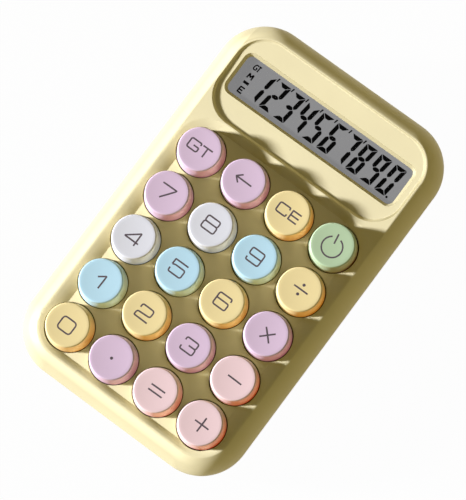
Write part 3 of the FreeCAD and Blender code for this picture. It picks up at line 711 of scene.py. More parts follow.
def case_plastic(name, colour, rim_painted_shade, pocket_painted_shade, case, heading):
    """Cream plastic with painted shade: the rim and the display pocket's walls are darkened where they face
    the lamp.
    """
    material = moulded_plastic(name, colour, roughness=0.46)
    spots = material.node_tree.nodes["Texture Coordinate"].outputs
    slope = turned_to(spots["Normal"], deck_up(case))
    bright = spread(turned_to(spots["Normal"], level_direction(case, heading)), start=-0.05, end=0.35)
    # Painted shade: the rim's slope is darkened by the rim tone where it faces the lamp
    rim = spread(slope, 1.0, 0.0, start=0.72, end=0.94)
    rebase(material, product(rim, bright), rim_painted_shade, "MULTIPLY")
    # Painted shade: the display pocket's steep walls, inside the rim, behind the ridge and above the display
    # floor, are darkened by the pocket tone where they face the lamp
    soft = case.edge_round
    rim_end = case.rim_width - case.half
    inside = spread(turned_to(spots["Object"], RIGHT), start=rim_end - soft, end=rim_end + soft)
    ridge = case.deck_y + case.recess_back
    behind = spread(turned_to(spots["Object"], BACK), start=ridge, end=ridge + case.ridge_wall)
    up = bezel_matrix(case).to_3x3() @ UP
    level = up.dot(bezel_matrix(case).translation)
    above = spread(turned_to(spots["Object"], up), 0.5, 1.0, start=level - soft, end=level + soft)
    walls = product(spread(slope, 1.0, 0.0, start=0.93, end=0.985), bright)
    rebase(material, product(walls, product(inside, behind, above)), pocket_painted_shade, "MULTIPLY")
    return material


def key_plastic(name, colour, glow, bounces, case, keys):
    """Plastic of a key with a painted glow: emission warms its far, shaded side for camera rays only, and it
    hardly tints the deck.
    """
    material = moulded_plastic(name, colour, roughness=0.42, mottle=0.025)
    material.cycles.emission_sampling = "NONE"
    path = add_node(material.node_tree, "LightPath")
    spots = material.node_tree.nodes["Texture Coordinate"].outputs
    middle = Vector((0, case.deck_y, case.deck_z))
    inner = []
    for heading, count in ((0, len(KEY_ROWS[0])), (90, len(KEY_ROWS))):
        along = level_direction(case, math.radians(heading))
        first = along.dot(middle) - (count - 1) / 2 * keys.pitch
        inner.append(spread(turned_to(spots["Object"], along), start=first, end=first + keys.radius / 2))
    rebase(material, path["Is Diffuse Ray"], blend_colour(product(*inner), *bounces), "MIX")
    # Painted glow: emission in a band down the side below the crown's edge, strongest on the side facing
    # away from the lamp, for camera rays only
    up = deck_up(case)
    crown = up.dot(middle) + keys.height
    edge_low = crown - 2 * keys.edge_round
    edge_high = crown - 0.3 * keys.edge_round
    side = spread(turned_to(spots["Object"], up), 1.0, 0.0, start=edge_low, end=edge_high)
    away = turned_to(spots["Normal"], level_direction(case, keys.painted_glow_heading))
    side = product(side, spread(away, start=0.1, end=0.9))
    feed(shader_input(material, "Emission Color"), glow)
    feed(shader_input(material, "Emission Strength"), product(side, path["Is Camera Ray"]))
    return material


def printed_ink(name, colour, specular):
    """Thin matt ink with slightly uneven cover."""
    material, spot = begin_finish(name)
    base = mottled(noise(spot, scale=900.0, detail=3.0), colour, 0.88, 1.12)
    gloss = spread(noise(spot, scale=2500.0), 0.55, 0.7)
    grain = noise(spot, scale=4000.0)
    return dress(material, base, gloss, grain, depth=0.004 * MM, strength=0.3, specular=specular)


def readout_face(name, colour):
    """Grey face behind the readout's glass with a painted glow, so shade from the window's walls hardly
    shows, and with a fine cell grain.
    """
    material, spot = begin_finish(name)
    clouds = noise(spot, scale=60.0)
    # Painted glow: the face's own base is kept dark and emission gives most of its grey
    base = mottled(clouds, colour, 0.19, 0.21)
    gloss = spread(noise(spot, scale=1200.0), 0.5, 0.6)
    grain = noise(spot, scale=5000.0)
    feed(shader_input(material, "Emission Color"), mottled(clouds, colour, 0.98, 1.02))
    feed(shader_input(material, "Emission Strength"), 0.85)
    return dress(material, base, gloss, grain, depth=0.002 * MM, strength=0.2, specular=0.0)


def clear_pane(name):
    """Clear sheet with a faint haze; most of the light goes straight through."""
    material, spot = begin_finish(name)
    thin_haze = (0.10, 0.11, 0.11)
    thick_haze = (0.14, 0.15, 0.15)
    base = blend_colour(spread(noise(spot, scale=90.0, detail=3.0)), thin_haze, thick_haze)
    gloss = spread(noise(spot, scale=300.0), 0.05, 0.12)
    waves = noise(spot, scale=120.0)
    return dress(material, base, gloss, waves, depth=0.002 * MM, strength=0.1, alpha=0.006)


def rubber(name, colour):
    """Dull rubber with dust in its pores."""
    material, spot = begin_finish(name)
    base = mottled(noise(spot, scale=700.0, detail=4.0), colour, 0.8, 1.25)
    gloss = spread(noise(spot, scale=400.0), 0.75, 0.9)
    pores = noise(spot, scale=2200.0, detail=3.0)
    return dress(material, base, gloss, pores, depth=0.02 * MM, strength=0.5, specular=0.25)


def plated_steel(name, colour, roughness, stretch):
    """Plated metal with drawn lines along one direction."""
    material, spot = begin_finish(name)
    lines = noise(spot, scale=1500.0, detail=3.0, stretch=stretch)
    base = mottled(lines, colour, 0.88, 1.06)
    gloss = spread(lines, roughness - 0.06, roughness + 0.08)
    return dress(material, base, gloss, lines, depth=0.004 * MM, strength=0.3, metallic=1.0)


def board_laminate(name, mask, track):
    """Green solder mask over fine copper tracks."""
    material, spot = begin_finish(name)
    pattern = {"Vector": spot, "Scale": 160.0, "Distortion": 6.0, "Detail": 1.0, "Detail Scale": 0.6}
    tracks = spread(add_node(material.node_tree, "TexWave", pattern)["Fac"], start=0.62, end=0.7)
    base = blend_colour(tracks, mottled(noise(spot, scale=80.0, detail=3.0), mask, 0.9, 1.1), track)
    gloss = spread(noise(spot, scale=500.0), 0.32, 0.45)
    return dress(material, base, gloss, tracks, depth=0.03 * MM, strength=0.4)


def striped(name, first, second, pitch, roughness):
    """Stripes side by side along X, as on a flat lead or a layered contact strip."""
    material, spot = begin_finish(name)
    pattern = {"Vector": spot, "Scale": 2 * math.pi / (WAVE_RADIANS * pitch)}
    bands = spread(add_node(material.node_tree, "TexWave", pattern)["Fac"], start=0.4, end=0.6)
    gloss = spread(noise(spot, scale=800.0), *around(roughness, 0.06))
    return dress(material, blend_colour(bands, first, second), gloss, bands, depth=0.02 * MM, strength=0.3)


def by_side(name, left, right, start, end, roughness):
    """Two colours that change over along X, as on a pair of leads or a cell's jacket."""
    material, spot = begin_finish(name)
    side = spread(turned_to(spot, RIGHT), start=start, end=end)
    clouds = noise(spot, scale=300.0, detail=3.0)
    base = blend_colour(side, *[mottled(clouds, colour, 0.9, 1.1) for colour in (left, right)])
    gloss = spread(noise(spot, scale=600.0), *around(roughness, 0.05))
    return dress(material, base, gloss, noise(spot, scale=1500.0), depth=0.006 * MM, strength=0.3)


def finish_named(name):
    material = bpy.data.materials.get(name)
    if material is None:
        raise RuntimeError(f"the finish {name} is not made yet")
    return material


class CALCULATOR_OT_finishes(bpy.types.Operator):
    """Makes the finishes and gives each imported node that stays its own"""

    bl_idname = "calculator.finishes"
    bl_label = "Finishes"

    def execute(self, context):
        case = context.scene.calculator_case
        keys = context.scene.calculator_keys
        colours = context.scene.calculator_colours
        lit_from = context.scene.calculator_stage.lamp_heading
        # The rim and pocket tones are painted shade on the case's lamp-facing slopes
        cream_and_painted_shades = [tuple(tone) for tone in (colours.case, colours.rim, colours.pocket)]
        case_plastic("case_cream", *cream_and_painted_shades, case, lit_from)
        bounces = [tuple(colours.edge_bounce), tuple(colours.bounce)]
        for finish in KEY_FINISHES:
            glow = tuple(getattr(colours, f"{finish}_glow"))
            key_plastic(f"{finish}_keys", tuple(getattr(colours, finish)), glow, bounces, case, keys)
        printed_ink("legend_ink", tuple(colours.ink), specular=0.2)
        readout_face("readout_grey", tuple(colours.readout))
        printed_ink("readout_bars", tuple(colours.bars), specular=0.0)
        clear_pane("clear_pane")
        steel = linear(186, 186, 180)
        made = {
            "lower_case": finish_named("case_cream"),
            "battery_door": finish_named("case_cream"),
            "rubber_feet": rubber("dark_rubber", linear(52, 52, 54)),
            "switch_housings": moulded_plastic("housing_black", linear(40, 40, 43), roughness=0.5),
            "switch_springs": plated_steel("spring_wire", steel, roughness=0.3, stretch=(1, 1, 30)),
            "key_board": board_laminate("board_green", linear(28, 92, 52), linear(64, 128, 70)),
            "lcd_glass": finish_named("readout_grey"),
            "lcd_holder": moulded_plastic("holder_white", linear(222, 222, 216), roughness=0.5),
            "zebra_strip": striped(
                "contact_strip", linear(40, 40, 42), linear(205, 150, 170), pitch=0.2 * MM, roughness=0.6
            ),
            "controller_chip": moulded_plastic("chip_black", linear(24, 24, 25), roughness=0.35),
            "ribbon_cable": striped(
                "ribbon_stripes", linear(225, 222, 208), linear(150, 148, 142),
                pitch=1.0 * MM, roughness=0.35
            ),
            "battery_cell": by_side(
                "cell_wrap", linear(58, 62, 68), linear(196, 148, 86), 9 * MM, 9.5 * MM, roughness=0.3
            ),
            "battery_contacts": plated_steel("contact_plate", steel, roughness=0.28, stretch=(1, 25, 1)),
            "battery_leads": by_side(
                "lead_sleeve", linear(34, 34, 36), linear(188, 40, 36), -1 * MM, 1 * MM, roughness=0.45
            ),
            "case_screws": plated_steel(
                "screw_plate", linear(170, 170, 166), roughness=0.33, stretch=(1, 1, 12)
            ),
        }
        made["display_board"] = made["key_board"]
        made["board_screws"] = made["case_screws"]
        plunger = moulded_plastic("plunger_brown", linear(150, 92, 70), roughness=0.38)
        for name in FINISH_OF:
            made[f"stem_{name}"] = plunger
        for node, material in made.items():
            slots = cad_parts[node].data.materials
            slots.clear()
            slots.append(material)
        return {"FINISHED"}


def rim_body(case):
    """The closed block of the upper case with its rolled rim."""
    edge = math.sin(case.rim_edge_tilt)
    radius = case.rim_width / (edge - math.sin(case.rim_top_tilt))
    drop = radius * (math.cos(case.rim_top_tilt) - math.cos(case.rim_edge_tilt))
    foot = case.crest - drop
    piece = round_plate("upper_case_shell", body_outline(case), foot - case.rim_land, steps=24)
    extrude(case.rim_land)
    steps = 14
    profile = []
    for step in range(1, steps + 1):
        tilt = case.rim_edge_tilt + (case.rim_top_tilt - case.rim_edge_tilt) * step / steps
        rise = radius * (math.cos(tilt) - math.cos(case.rim_edge_tilt))
        profile.append((radius * (edge - math.sin(tilt)), rise))
    inset_along(profile)
    object_mode()
    return piece, foot - case.rim_land


def recess_tool(case):
    """The keyboard recess: its wall swells from the deck up to the crest."""
    inner = case.rim_width + case.crest_land
    foot = Outline(case.recess_half, case.recess_front, case.recess_back, case.recess_corner)
    top = (case.half - inner, case.front + inner, case.recess_back + case.ridge_wall)
    piece = round_plate("recess_tool", foot, 0.0, steps=20)
    steps = 8
    climb = 4 * case.recess_swell - 1
    half, low, high, level = foot.half, foot.low, foot.high, 0.0
    for step in range(1, steps + 2):
        part = step / steps
        next_half, next_low, next_high = [start + (end - start) * part for start, end in zip(foot, top)]
        next_level = case.crest * (climb * part + (1 - climb) * part * part)
        extrude(next_level - level, (next_low + next_high - low - high) / 2)
        middle = (next_low + next_high) / 2
        size = (next_half / half, (next_high - next_low) / (high - low), 1)
        bpy.ops.transform.resize(value=size, center_override=(0, middle, next_level))
        half, low, high, level = next_half, next_low, next_high, next_level
    extrude(2 * case.crest)
    object_mode()
    return piece


def pocket_tool(case):
    """The display pocket: steep walls with softened edges, from the crest down to the sloping floor."""
    soft = case.edge_round
    inner = case.rim_width + case.crest_land
    half = case.half - inner
    low = case.recess_back + case.ridge_wall + case.ridge_land
    high = case.back - inner
    top = Outline(half + soft, low - soft, high + soft, case.corner - inner + soft)
    piece = round_block("pocket_tool", top, case.crest, 3 * case.crest, steps=20)
    select_faces(piece, faces_down)
    inset_along(quarter_arc(soft, math.sin, lambda turn: 1 - math.cos(turn), steps=4))
    extrude(-case.crest)
    middle = (low + high) / 2
    size = (case.bezel_half / half, case.bezel_length / (high - low), 1)
    bpy.ops.transform.resize(value=size, center_override=(0, middle, 0))
    object_mode()
    floor = bezel_in_deck(case) @ Matrix.Translation((0, -case.bezel_length / 2, 0))
    for vertex in piece.data.vertices:
        if vertex.co.z < case.crest / 2:
            vertex.co = floor @ Vector((vertex.co.x, vertex.co.y - middle, 0))
    select_faces(piece, lambda face: faces_down(face) and len(face.vertices) > 4)
    bpy.ops.mesh.region_to_loop()
    bpy.ops.mesh.bevel(offset=soft, segments=3, affect="EDGES")
    object_mode()
    clean(piece)
    return piece


def window_tool(case):
    """The display opening: walls that lean in from the bezel to the pane."""
    slope = case.window_draft / case.bezel_thickness
    above = 0.5 * MM
    below = 0.2 * MM
    top = window_outline(case, above * slope)
    piece = round_block("window_tool", top, above, 2 * above, steps=8)
    select_faces(piece, faces_down)
    deep = above + case.bezel_thickness
    bpy.ops.mesh.inset(thickness=deep * slope, depth=deep)
    extrude(-below)
    object_mode()
    return place(piece, bezel_in_deck(case))


def inner_tool(case, parting):
    """The room under the deck, with the bezel slab kept and the readout's room opened."""
    room = body_outline(case, case.shoulder)
    piece = round_block("inner_tool", room, parting - PAST, parting + case.rebate, steps=24)
    select_faces(piece, faces_up)
    rise = -case.deck_thickness - parting - case.rebate
    bpy.ops.mesh.inset(thickness=case.cavity_inset - case.shoulder, depth=rise)
    object_mode()
    slab = slab_depth(case)
    wide = case.half + PAST
    front = -case.bezel_length - case.rib
    kept = box_block("kept_tool", (-wide, front, -slab), (wide, case.corner, case.corner))
    carve(piece, place(kept, bezel_in_deck(case)))
    side_room = 1.8 * MM
    end_room = 5.2 * MM
    seat = pane_outline(case, side_room)
    low = (-seat.half, seat.low - end_room, -slab - case.cavity_depth)
    high = (seat.half, seat.high + end_room, -slab)
    carve(piece, place(box_block("readout_tool", low, high), bezel_in_deck(case)), "UNION")
    return piece


def hole_tool(case, keys):
    """A key's hole with a small lead-in, whose cone passes a little through the deck's face."""
    piece = drum("hole_tool", 0, 0, keys.hole, -2 * case.deck_thickness, -keys.lead_in, sides=72)
    past = keys.lead_in / 4
    cone = keys.lead_in + past
    select_faces(piece, faces_up)
    extrude(cone)
    resize_face((keys.hole + cone) / keys.hole, past)
    extrude(2 * case.crest)
    object_mode()
    return piece


class CALCULATOR_OT_upper_case(bpy.types.Operator):
    """Models the upper case: rolled rim, recess, ridge, tilted display pocket, holes and hollow inside"""

    bl_idname = "calculator.upper_case"
    bl_label = "Upper case"

    def execute(self, context):
        case = context.scene.calculator_case
        keys = context.scene.calculator_keys
        piece, parting = rim_body(case)
        carve(piece, recess_tool(case))
        carve(piece, pocket_tool(case))
        rebate = body_outline(case, case.rim_wall)
        carve(piece, round_block("rebate_tool", rebate, parting - PAST, parting + case.rebate, steps=24))
        carve(piece, inner_tool(case, parting))
        hole = hole_tool(case, keys)
        holes = []
        for name, (x, y) in key_places(keys).items():
            holes.append(place(copy_of(hole, f"hole_tool_{name}"), Matrix.Translation((x, y, 0))))
        bpy.data.objects.remove(hole)
        carve(piece, join(holes))
        seat = pane_outline(case, case.lens_gap)
        seat_tool = round_block("seat_tool", seat, -slab_depth(case) - PAST, -case.bezel_thickness, steps=8)
        carve(piece, place(seat_tool, bezel_in_deck(case)))
        carve(piece, window_tool(case))
        clean(piece)
        smooth(piece, hard_from=28)
        apply_modifier(piece, "WEIGHTED_NORMAL", weight=80, keep_sharp=True)
        place(piece, deck_matrix(case))
        finish_piece(piece, finish_named("case_cream"), "case")
        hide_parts("upper_case")
        return {"FINISHED"}


class CALCULATOR_OT_keycaps(bpy.types.Operator):
    """Models one hollow key top and sets a copy on each plunger"""

    bl_idname = "calculator.keycaps"
    bl_label = "Key tops"

    def execute(self, context):
        case = context.scene.calculator_case
        keys = context.scene.calculator_keys
        cap = drum("key_top", 0, 0, keys.radius, -keys.skirt, 0.0, sides=96)
        crown = keys.radius - keys.taper
        select_faces(cap, faces_up)
        extrude(keys.height - keys.edge_round)
        resize_face(crown / keys.radius, keys.height - keys.edge_round)
        inset_along(quarter_arc(keys.edge_round, lambda turn: 1 - math.cos(turn), math.sin, steps=6))
        flat = crown - keys.edge_round
        rings = 8
        for ring in range(1, rings):
            outer, inner = [1 - (ring - 1 + offset) / rings for offset in (0, 1)]
            fall = keys.dish * (outer * outer - inner * inner)
            bpy.ops.mesh.inset(thickness=flat / rings, depth=-fall)
        bpy.ops.mesh.poke(offset=-keys.dish / rings / rings)
        object_mode()
        select_faces(cap, faces_down)
        bpy.ops.mesh.inset(thickness=keys.wall)
        extrude(keys.skirt + keys.ceiling)
        resize_face((crown - keys.wall) / (keys.radius - keys.wall), keys.ceiling)
        bpy.ops.mesh.inset(thickness=crown - keys.wall - keys.post_radius)
        extrude(keys.post_foot - keys.ceiling)
        object_mode()
        half, thin = keys.socket_length / 2, keys.socket_width / 2
        low, high = keys.post_foot - keys.wall, keys.socket_top
        carve(cap, box_block("socket_tool", (-half, -thin, low), (half, thin, high)))
        carve(cap, box_block("socket_tool", (-thin, -half, low), (thin, half, high)))
        clean(cap)
        smooth(cap, hard_from=35)
        for name, (x, y) in key_places(keys).items():
            top = copy_of(cap, f"key_top_{name}")
            place(top, deck_matrix(case) @ Matrix.Translation((x, y, 0)))
            finish = FINISH_OF[name]
            finish_piece(top, finish_named(f"{finish}_keys"), f"key_{name}")
            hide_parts(f"keycap_{name}")
        bpy.data.objects.remove(cap)
        return {"FINISHED"}


def rounded_path(stroke, steps=6):
    """Points of a stroke's centre line with its corners rounded off by smooth curves."""
    corners = [Vector((x, y, 0)) for x, y in stroke.points]
    count = len(corners)
    path = []
    for index, corner in enumerate(corners):
        inner = stroke.closed or 0 < index < count - 1
        if not inner:
            path.append(corner)
            continue
        back = corners[index - 1] - corner
        ahead = corners[(index + 1) % count] - corner
        half_turn = (math.pi - back.angle(ahead)) / 2
        radius = max(stroke.corner, SHARPEST_CORNER)
        reach = min(radius * math.tan(half_turn), back.length / SIDE_PARTS, ahead.length / SIDE_PARTS)
        start = corner + back.normalized() * reach
        end = corner + ahead.normalized() * reach
        for step in range(steps + 1):
            part = step / steps
            path.append(start * (1 - part) ** 2 + corner * (2 * part * (1 - part)) + end * part ** 2)
    return path


def ink_strokes(name, paths, width, height):
    """Strokes of a given width as one flat mesh: each is a round bead along its path, pressed flat."""
    curve = bpy.data.curves.new(name, "CURVE")
    curve.dimensions = "3D"
    curve.twist_mode = "Z_UP"
    curve.bevel_mode = "ROUND"
    curve.bevel_depth = width / 2
    curve.bevel_resolution = 2
    curve.use_fill_caps = True
    for points, closed in paths:
        spline = curve.splines.new("POLY")
        spline.points.add(len(points) - 1)
        spline.use_cyclic_u = closed
        for spot, point in zip(spline.points, points):
            spot.co = (point[0], point[1], 0, 1)
    piece = bpy.data.objects.new(name, curve)
    bpy.context.scene.collection.objects.link(piece)
    pick(piece)
    bpy.ops.object.convert(target="MESH")
    piece = bpy.context.object
    edit_mode()
    bpy.ops.mesh.select_all(action="SELECT")
    bpy.ops.transform.resize(value=(1, 1, height / width), center_override=(0, 0, 0))
    object_mode()
    return piece


def ink_dot(name, x, y, radius, height):
    """A printed point: a low drum whose upper edge slopes."""
    dot = drum(name, x, y, radius, -height / 2, height / 2, sides=24)
    select_faces(dot, faces_up)
    bpy.ops.mesh.inset(thickness=radius / 4, depth=height / 6)
    object_mode()
    return dot


class CALCULATOR_OT_legends(bpy.types.Operator):
    """Prints the numerals and function signs on the key tops"""

    bl_idname = "calculator.legends"
    bl_label = "Legends"

    def execute(self, context):
        case = context.scene.calculator_case
        keys = context.scene.calculator_keys
        reach = keys.radius - keys.taper - keys.edge_round
        for name, (x, y) in key_places(keys).items():
            label = f"legend_{name}"
            paths = []
            for stroke in LEGENDS.get(name, ()):
                paths.append(([point * MM for point in rounded_path(stroke)], stroke.closed))
            if name == "power":
                paths.append((self.power_ring(), False))
                paths.append(([Vector((*point, 0)) * MM for point in POWER_MARK], False))
            parts = []
            if paths:
                parts.append(ink_strokes(label, paths, keys.stroke, keys.ink))
            for dot_x, dot_y in LEGEND_DOTS.get(name, ()):
                parts.append(ink_dot(label, dot_x * MM, dot_y * MM, DOT_RADIUS * MM, keys.ink))
            piece = join(parts)
            piece.name = label
            for vertex in piece.data.vertices:
                far = (vertex.co.x ** 2 + vertex.co.y ** 2) / reach ** 2
                vertex.co.z += keys.height - keys.dish * (1 - far)
            smooth(piece, hard_from=50)
            place(piece, deck_matrix(case) @ Matrix.Translation((x, y, 0)))
            finish_piece(piece, finish_named("legend_ink"), f"key_{name}")
        return {"FINISHED"}

    def power_ring(self):
        """Points of the power sign's ring, open at its top."""
        middle_x, middle_y = POWER_RING["middle"]
        start = POWER_RING["gap_to"]
        sweep = 360 - POWER_RING["gap_to"] + POWER_RING["gap_from"]
        steps = 48
        points = []
        for step in range(steps + 1):
            turn = math.radians(start + sweep * step / steps)
            radius = POWER_RING["radius"]
            spot = Vector((middle_x + radius * math.cos(turn), middle_y + radius * math.sin(turn), 0))
            points.append(spot * MM)
        return points


def bar_shapes(sizes):
    """Corners of the seven bars of a digit, from its lower left corner."""
    width, height, bar, gap = sizes.width, sizes.height, sizes.bar, sizes.gap
    middle = height / 2
    top = (
        (gap, height), (width - gap, height), (width - bar - gap, height - bar), (bar + gap, height - bar)
    )
    upper_left = (
        (0, height - gap), (bar, height - bar - gap), (bar, middle + bar / 2 + gap),
        (bar / 2, middle + gap), (0, middle + bar / 2 + gap)
    )
    across = (
        (bar / 2 + gap, middle), (bar + gap, middle + bar / 2), (width - bar - gap, middle + bar / 2),
        (width - bar / 2 - gap, middle), (width - bar - gap, middle - bar / 2), (bar + gap, middle - bar / 2)
    )
    upper_right = tuple((width - x, y) for x, y in upper_left)
    shapes = {"a": top, "b": upper_right, "f": upper_left, "g": across}
    for upper, lower in (("a", "d"), ("b", "c"), ("f", "e")):
        shapes[lower] = tuple((x, height - y) for x, y in shapes[upper])
    return shapes


def film_shape(name, corners, film, soften):
    """A thin flat film with the given corners, each slightly rounded."""
    mesh = bpy.data.meshes.new(name)
    mesh.from_pydata([(x, y, 0) for x, y in corners], [], [tuple(range(len(corners)))])
    piece = bpy.data.objects.new(name, mesh)
    bpy.context.scene.collection.objects.link(piece)
    pick(piece)
    round_corners(soften, steps=3)
    bpy.ops.mesh.normals_make_consistent(inside=False)
    extrude(film)
    bpy.ops.mesh.select_all(action="SELECT")
    bpy.ops.mesh.normals_make_consistent(inside=False)
    object_mode()
    return piece


class CALCULATOR_OT_readout(bpy.types.Operator):
    """Draws the lit bars, ticks, point and indicators on the readout and glazes its window"""

    bl_idname = "calculator.readout"
    bl_label = "Readout"

    def execute(self, context):
        case = context.scene.calculator_case
        sizes = context.scene.calculator_readout
        sunk = 0.005 * MM
        glass = bezel_matrix(case) @ Matrix.Translation((0, 0, -slab_depth(case) - sunk))
        shapes = bar_shapes(sizes)
        for index, bars in enumerate(READOUT_DIGITS):
            left = sizes.left + sizes.pitch * index
            parts = []
            for bar in bars:
                corners = [(left + x + sizes.lean * y, sizes.base + y) for x, y in shapes[bar]]
                parts.append(film_shape("bar", corners, sizes.film, sizes.corner))
            if index < TICKED_DIGITS:
                parts.append(self.tick(left, sizes))
            self.lay(join(parts), f"readout_digit_{index + 1}", glass)
        before = 0.85 * MM
        point_x = sizes.left + sizes.pitch * len(READOUT_DIGITS) - before
        point_y = sizes.base + sizes.dot / 2
        point = drum("point", point_x, point_y, sizes.dot, 0, sizes.film, sides=24)
        select_faces(point, faces_up)
        bpy.ops.mesh.inset(thickness=sizes.dot / 5, depth=sizes.film / 5)
        object_mode()
        self.lay(point, "readout_point", glass)
        signs = []
        corner = Vector((sizes.left, sizes.base, 0))
        for strokes, width in ((THIN_INDICATORS, sizes.thin), (BOLD_INDICATORS, sizes.bold)):
            paths = [[corner + spot * MM for spot in rounded_path(Stroke(path))] for path in strokes]
            signs.append(ink_strokes("signs", [(path, False) for path in paths], width, 2 * sizes.film))
        (left, low), (right, high) = [(corner.x + x * MM, corner.y + y * MM) for x, y in DASH_ENDS]
        thick = DASH_WIDTH * MM / 2
        corners = ((left, low - thick), (right, low - thick), (right, high + thick), (left, high + thick))
        dash = film_shape("dash", corners, sizes.film, sizes.gap / 2)
        self.lay(join([*signs, dash]), "readout_indicators", glass)
        self.pane(case)
        return {"FINISHED"}

    def pane(self, case):
        """The clear sheet in the window, with softened edges."""
        clearance = 0.1 * MM
        bottom = clearance - slab_depth(case)
        pane = round_block("window_pane", pane_outline(case), bottom, -case.bezel_thickness, steps=8)
        steep = math.radians(40)
        apply_modifier(pane, "BEVEL", width=0.08 * MM, segments=2, limit_method="ANGLE", angle_limit=steep)
        smooth(pane, hard_from=30)
        place(pane, bezel_matrix(case))
        finish_piece(pane, finish_named("clear_pane"), "case")
        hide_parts("display_window")

    def tick(self, left, sizes):
        """The separator at a digit's upper right, narrower at its foot."""
        aside = 0.15 * MM
        drop = 0.95 * MM
        step = 0.32 * MM
        foot_x = left + sizes.width + sizes.lean * sizes.height + aside
        foot_y = sizes.base + sizes.height - drop
        foot_width = sizes.tick_width * 0.7
        corners = (
            (foot_x, foot_y), (foot_x + foot_width, foot_y),
            (foot_x + step + sizes.tick_width, foot_y + sizes.tick_rise),
            (foot_x + step, foot_y + sizes.tick_rise),
        )
        return film_shape("tick", corners, sizes.film, sizes.gap / 2)

    def lay(self, piece, name, glass):
        piece.name = name
        place(piece, glass)
        finish_piece(piece, finish_named("readout_bars"), "case")


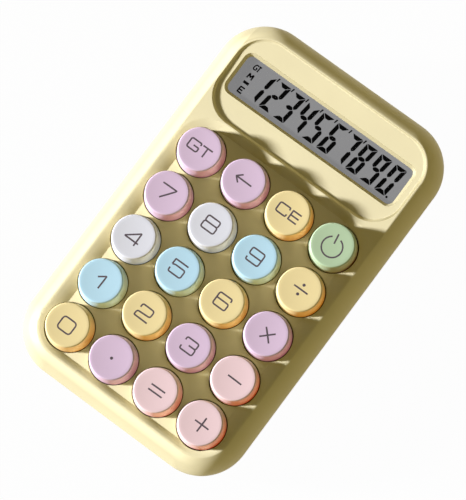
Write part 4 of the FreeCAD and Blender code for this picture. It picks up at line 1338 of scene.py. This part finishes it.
class CALCULATOR_OT_stage(bpy.types.Operator):
    """Sets the floor, the room's light, the lamp and the camera"""

    bl_idname = "calculator.stage"
    bl_label = "Stage"

    def execute(self, context):
        stage = context.scene.calculator_stage
        case = context.scene.calculator_case
        self.floor(stage, case)
        self.room(context.scene, stage)
        self.lamp(context.scene, stage, case)
        self.camera(context.scene, stage)
        context.scene.view_settings.view_transform = "Standard"
        return {"FINISHED"}

    def floor(self, stage, case):
        """A white floor that is open to the view from below."""
        deselect()
        bpy.ops.mesh.primitive_plane_add(size=2 * stage.floor, location=(0, 0, -stage.floor_gap))
        floor = bpy.context.object
        floor.name = "floor"
        material = bpy.data.materials.new("pale_floor")
        material.use_nodes = True
        material.cycles.emission_sampling = "NONE"
        tree = material.node_tree
        tree.nodes.clear()
        white = add_node(tree, "Emission", {"Strength": 1.0})["Emission"]
        amount = maths("MULTIPLY", self.seen_directly(tree), stage.floor_white)
        top = mix_shaders(amount, self.lit_below(tree, stage, case), white)
        below = add_node(tree, "NewGeometry")["Backfacing"]
        opened = add_node(tree, "BsdfTransparent")["BSDF"]
        add_node(tree, "OutputMaterial", {"Surface": mix_shaders(below, top, opened)})
        floor.data.materials.append(material)

    def lit_below(self, tree, stage, case):
        """The floor's paper, with a light under the part that only its underside meets."""
        spot = add_node(tree, "TexCoord")["Object"]
        amount = add_node(tree, "LightPath")["Is Diffuse Ray"]
        margin = stage.under_margin
        for direction, reach in ((RIGHT, case.half), (BACK, (case.back - case.front) / 2)):
            distance = maths("ABSOLUTE", turned_to(spot, direction))
            inside = spread(distance, 1.0, 0.0, start=reach - 2 * margin, end=reach - margin)
            amount = product(amount, inside)
        paper = add_node(tree, "BsdfDiffuse", {"Color": stage.paper})["BSDF"]
        light = add_node(tree, "Emission", {"Strength": stage.under_light})["Emission"]
        return mix_shaders(amount, paper, light)

    def seen_directly(self, tree):
        """One for rays from the camera, mirrors and glass, nothing for light that falls on the part."""
        path = add_node(tree, "LightPath")
        mirrored = maths("MAXIMUM", path["Is Camera Ray"], path["Is Glossy Ray"])
        return maths("MAXIMUM", mirrored, path["Is Transmission Ray"])

    def room(self, scene, stage):
        """A room that looks white and lights the part with a warm light that fades overhead."""
        world = bpy.data.worlds.new("studio")
        scene.world = world
        world.use_nodes = True
        tree = world.node_tree
        tree.nodes.clear()
        height = turned_to(add_node(tree, "NewGeometry")["Incoming"], -UP)
        strength = spread(height, stage.fill, stage.fill_top, start=0.0, end=0.7)
        warm = add_node(tree, "Background", {"Color": stage.fill_colour, "Strength": strength})
        white = add_node(tree, "Background", {"Color": (1, 1, 1), "Strength": 1.0})
        seen = self.seen_directly(tree)
        surface = mix_shaders(seen, warm["Background"], white["Background"])
        add_node(tree, "OutputWorld", {"Surface": surface})

    def lamp(self, scene, stage, case):
        """The main lamp, far away and aimed by its heading and height over the key deck."""
        toward = level_direction(case, stage.lamp_heading) * math.cos(stage.lamp_height)
        toward += deck_up(case) * math.sin(stage.lamp_height)
        light = bpy.data.lights.new("main_lamp", "SUN")
        light.energy = stage.lamp_strength
        light.angle = stage.lamp_softness
        holder = bpy.data.objects.new("main_lamp", light)
        holder.rotation_euler = toward.to_track_quat("Z", "Y").to_euler()
        holder.location = toward
        scene.collection.objects.link(holder)

    def camera(self, scene, stage):
        data = bpy.data.cameras.new("camera")
        data.lens = stage.lens
        data.sensor_width = stage.sensor
        data.clip_start = stage.nearest
        holder = bpy.data.objects.new("camera", data)
        holder.location = tuple(stage.eye)
        holder.rotation_euler = Euler(tuple(stage.turn))
        scene.collection.objects.link(holder)
        scene.camera = holder


OPERATORS = (
    CALCULATOR_OT_finishes,
    CALCULATOR_OT_upper_case,
    CALCULATOR_OT_keycaps,
    CALCULATOR_OT_legends,
    CALCULATOR_OT_readout,
    CALCULATOR_OT_stage,
)
GROUPS = {
    "calculator_case": CaseSizes,
    "calculator_keys": KeySizes,
    "calculator_readout": ReadoutSizes,
    "calculator_colours": Colours,
    "calculator_stage": StageSettings,
}


class CALCULATOR_PT_pieces(bpy.types.Panel):
    """Lists the calculator's pieces and their sizes"""

    bl_label = "Desk calculator"
    bl_idname = "CALCULATOR_PT_pieces"
    bl_space_type = "VIEW_3D"
    bl_region_type = "UI"
    bl_category = "Calculator"

    def draw(self, context):
        for operator in OPERATORS:
            self.layout.operator(operator.bl_idname)
        for pointer, group in GROUPS.items():
            column = self.layout.column()
            for size in group.__annotations__:
                column.prop(getattr(context.scene, pointer), size)


def register():
    for group in GROUPS.values():
        bpy.utils.register_class(group)
    for pointer, group in GROUPS.items():
        setattr(bpy.types.Scene, pointer, PointerProperty(type=group))
    for operator in OPERATORS:
        bpy.utils.register_class(operator)
    bpy.utils.register_class(CALCULATOR_PT_pieces)


def unregister():
    bpy.utils.unregister_class(CALCULATOR_PT_pieces)
    for operator in reversed(OPERATORS):
        bpy.utils.unregister_class(operator)
    for pointer in GROUPS:
        delattr(bpy.types.Scene, pointer)
    for group in reversed(GROUPS.values()):
        bpy.utils.unregister_class(group)


def main():
    register()
    for operator in OPERATORS:
        group, name = operator.bl_idname.split(".")
        getattr(getattr(bpy.ops, group), name)()


if __name__ == "__main__":
    main()
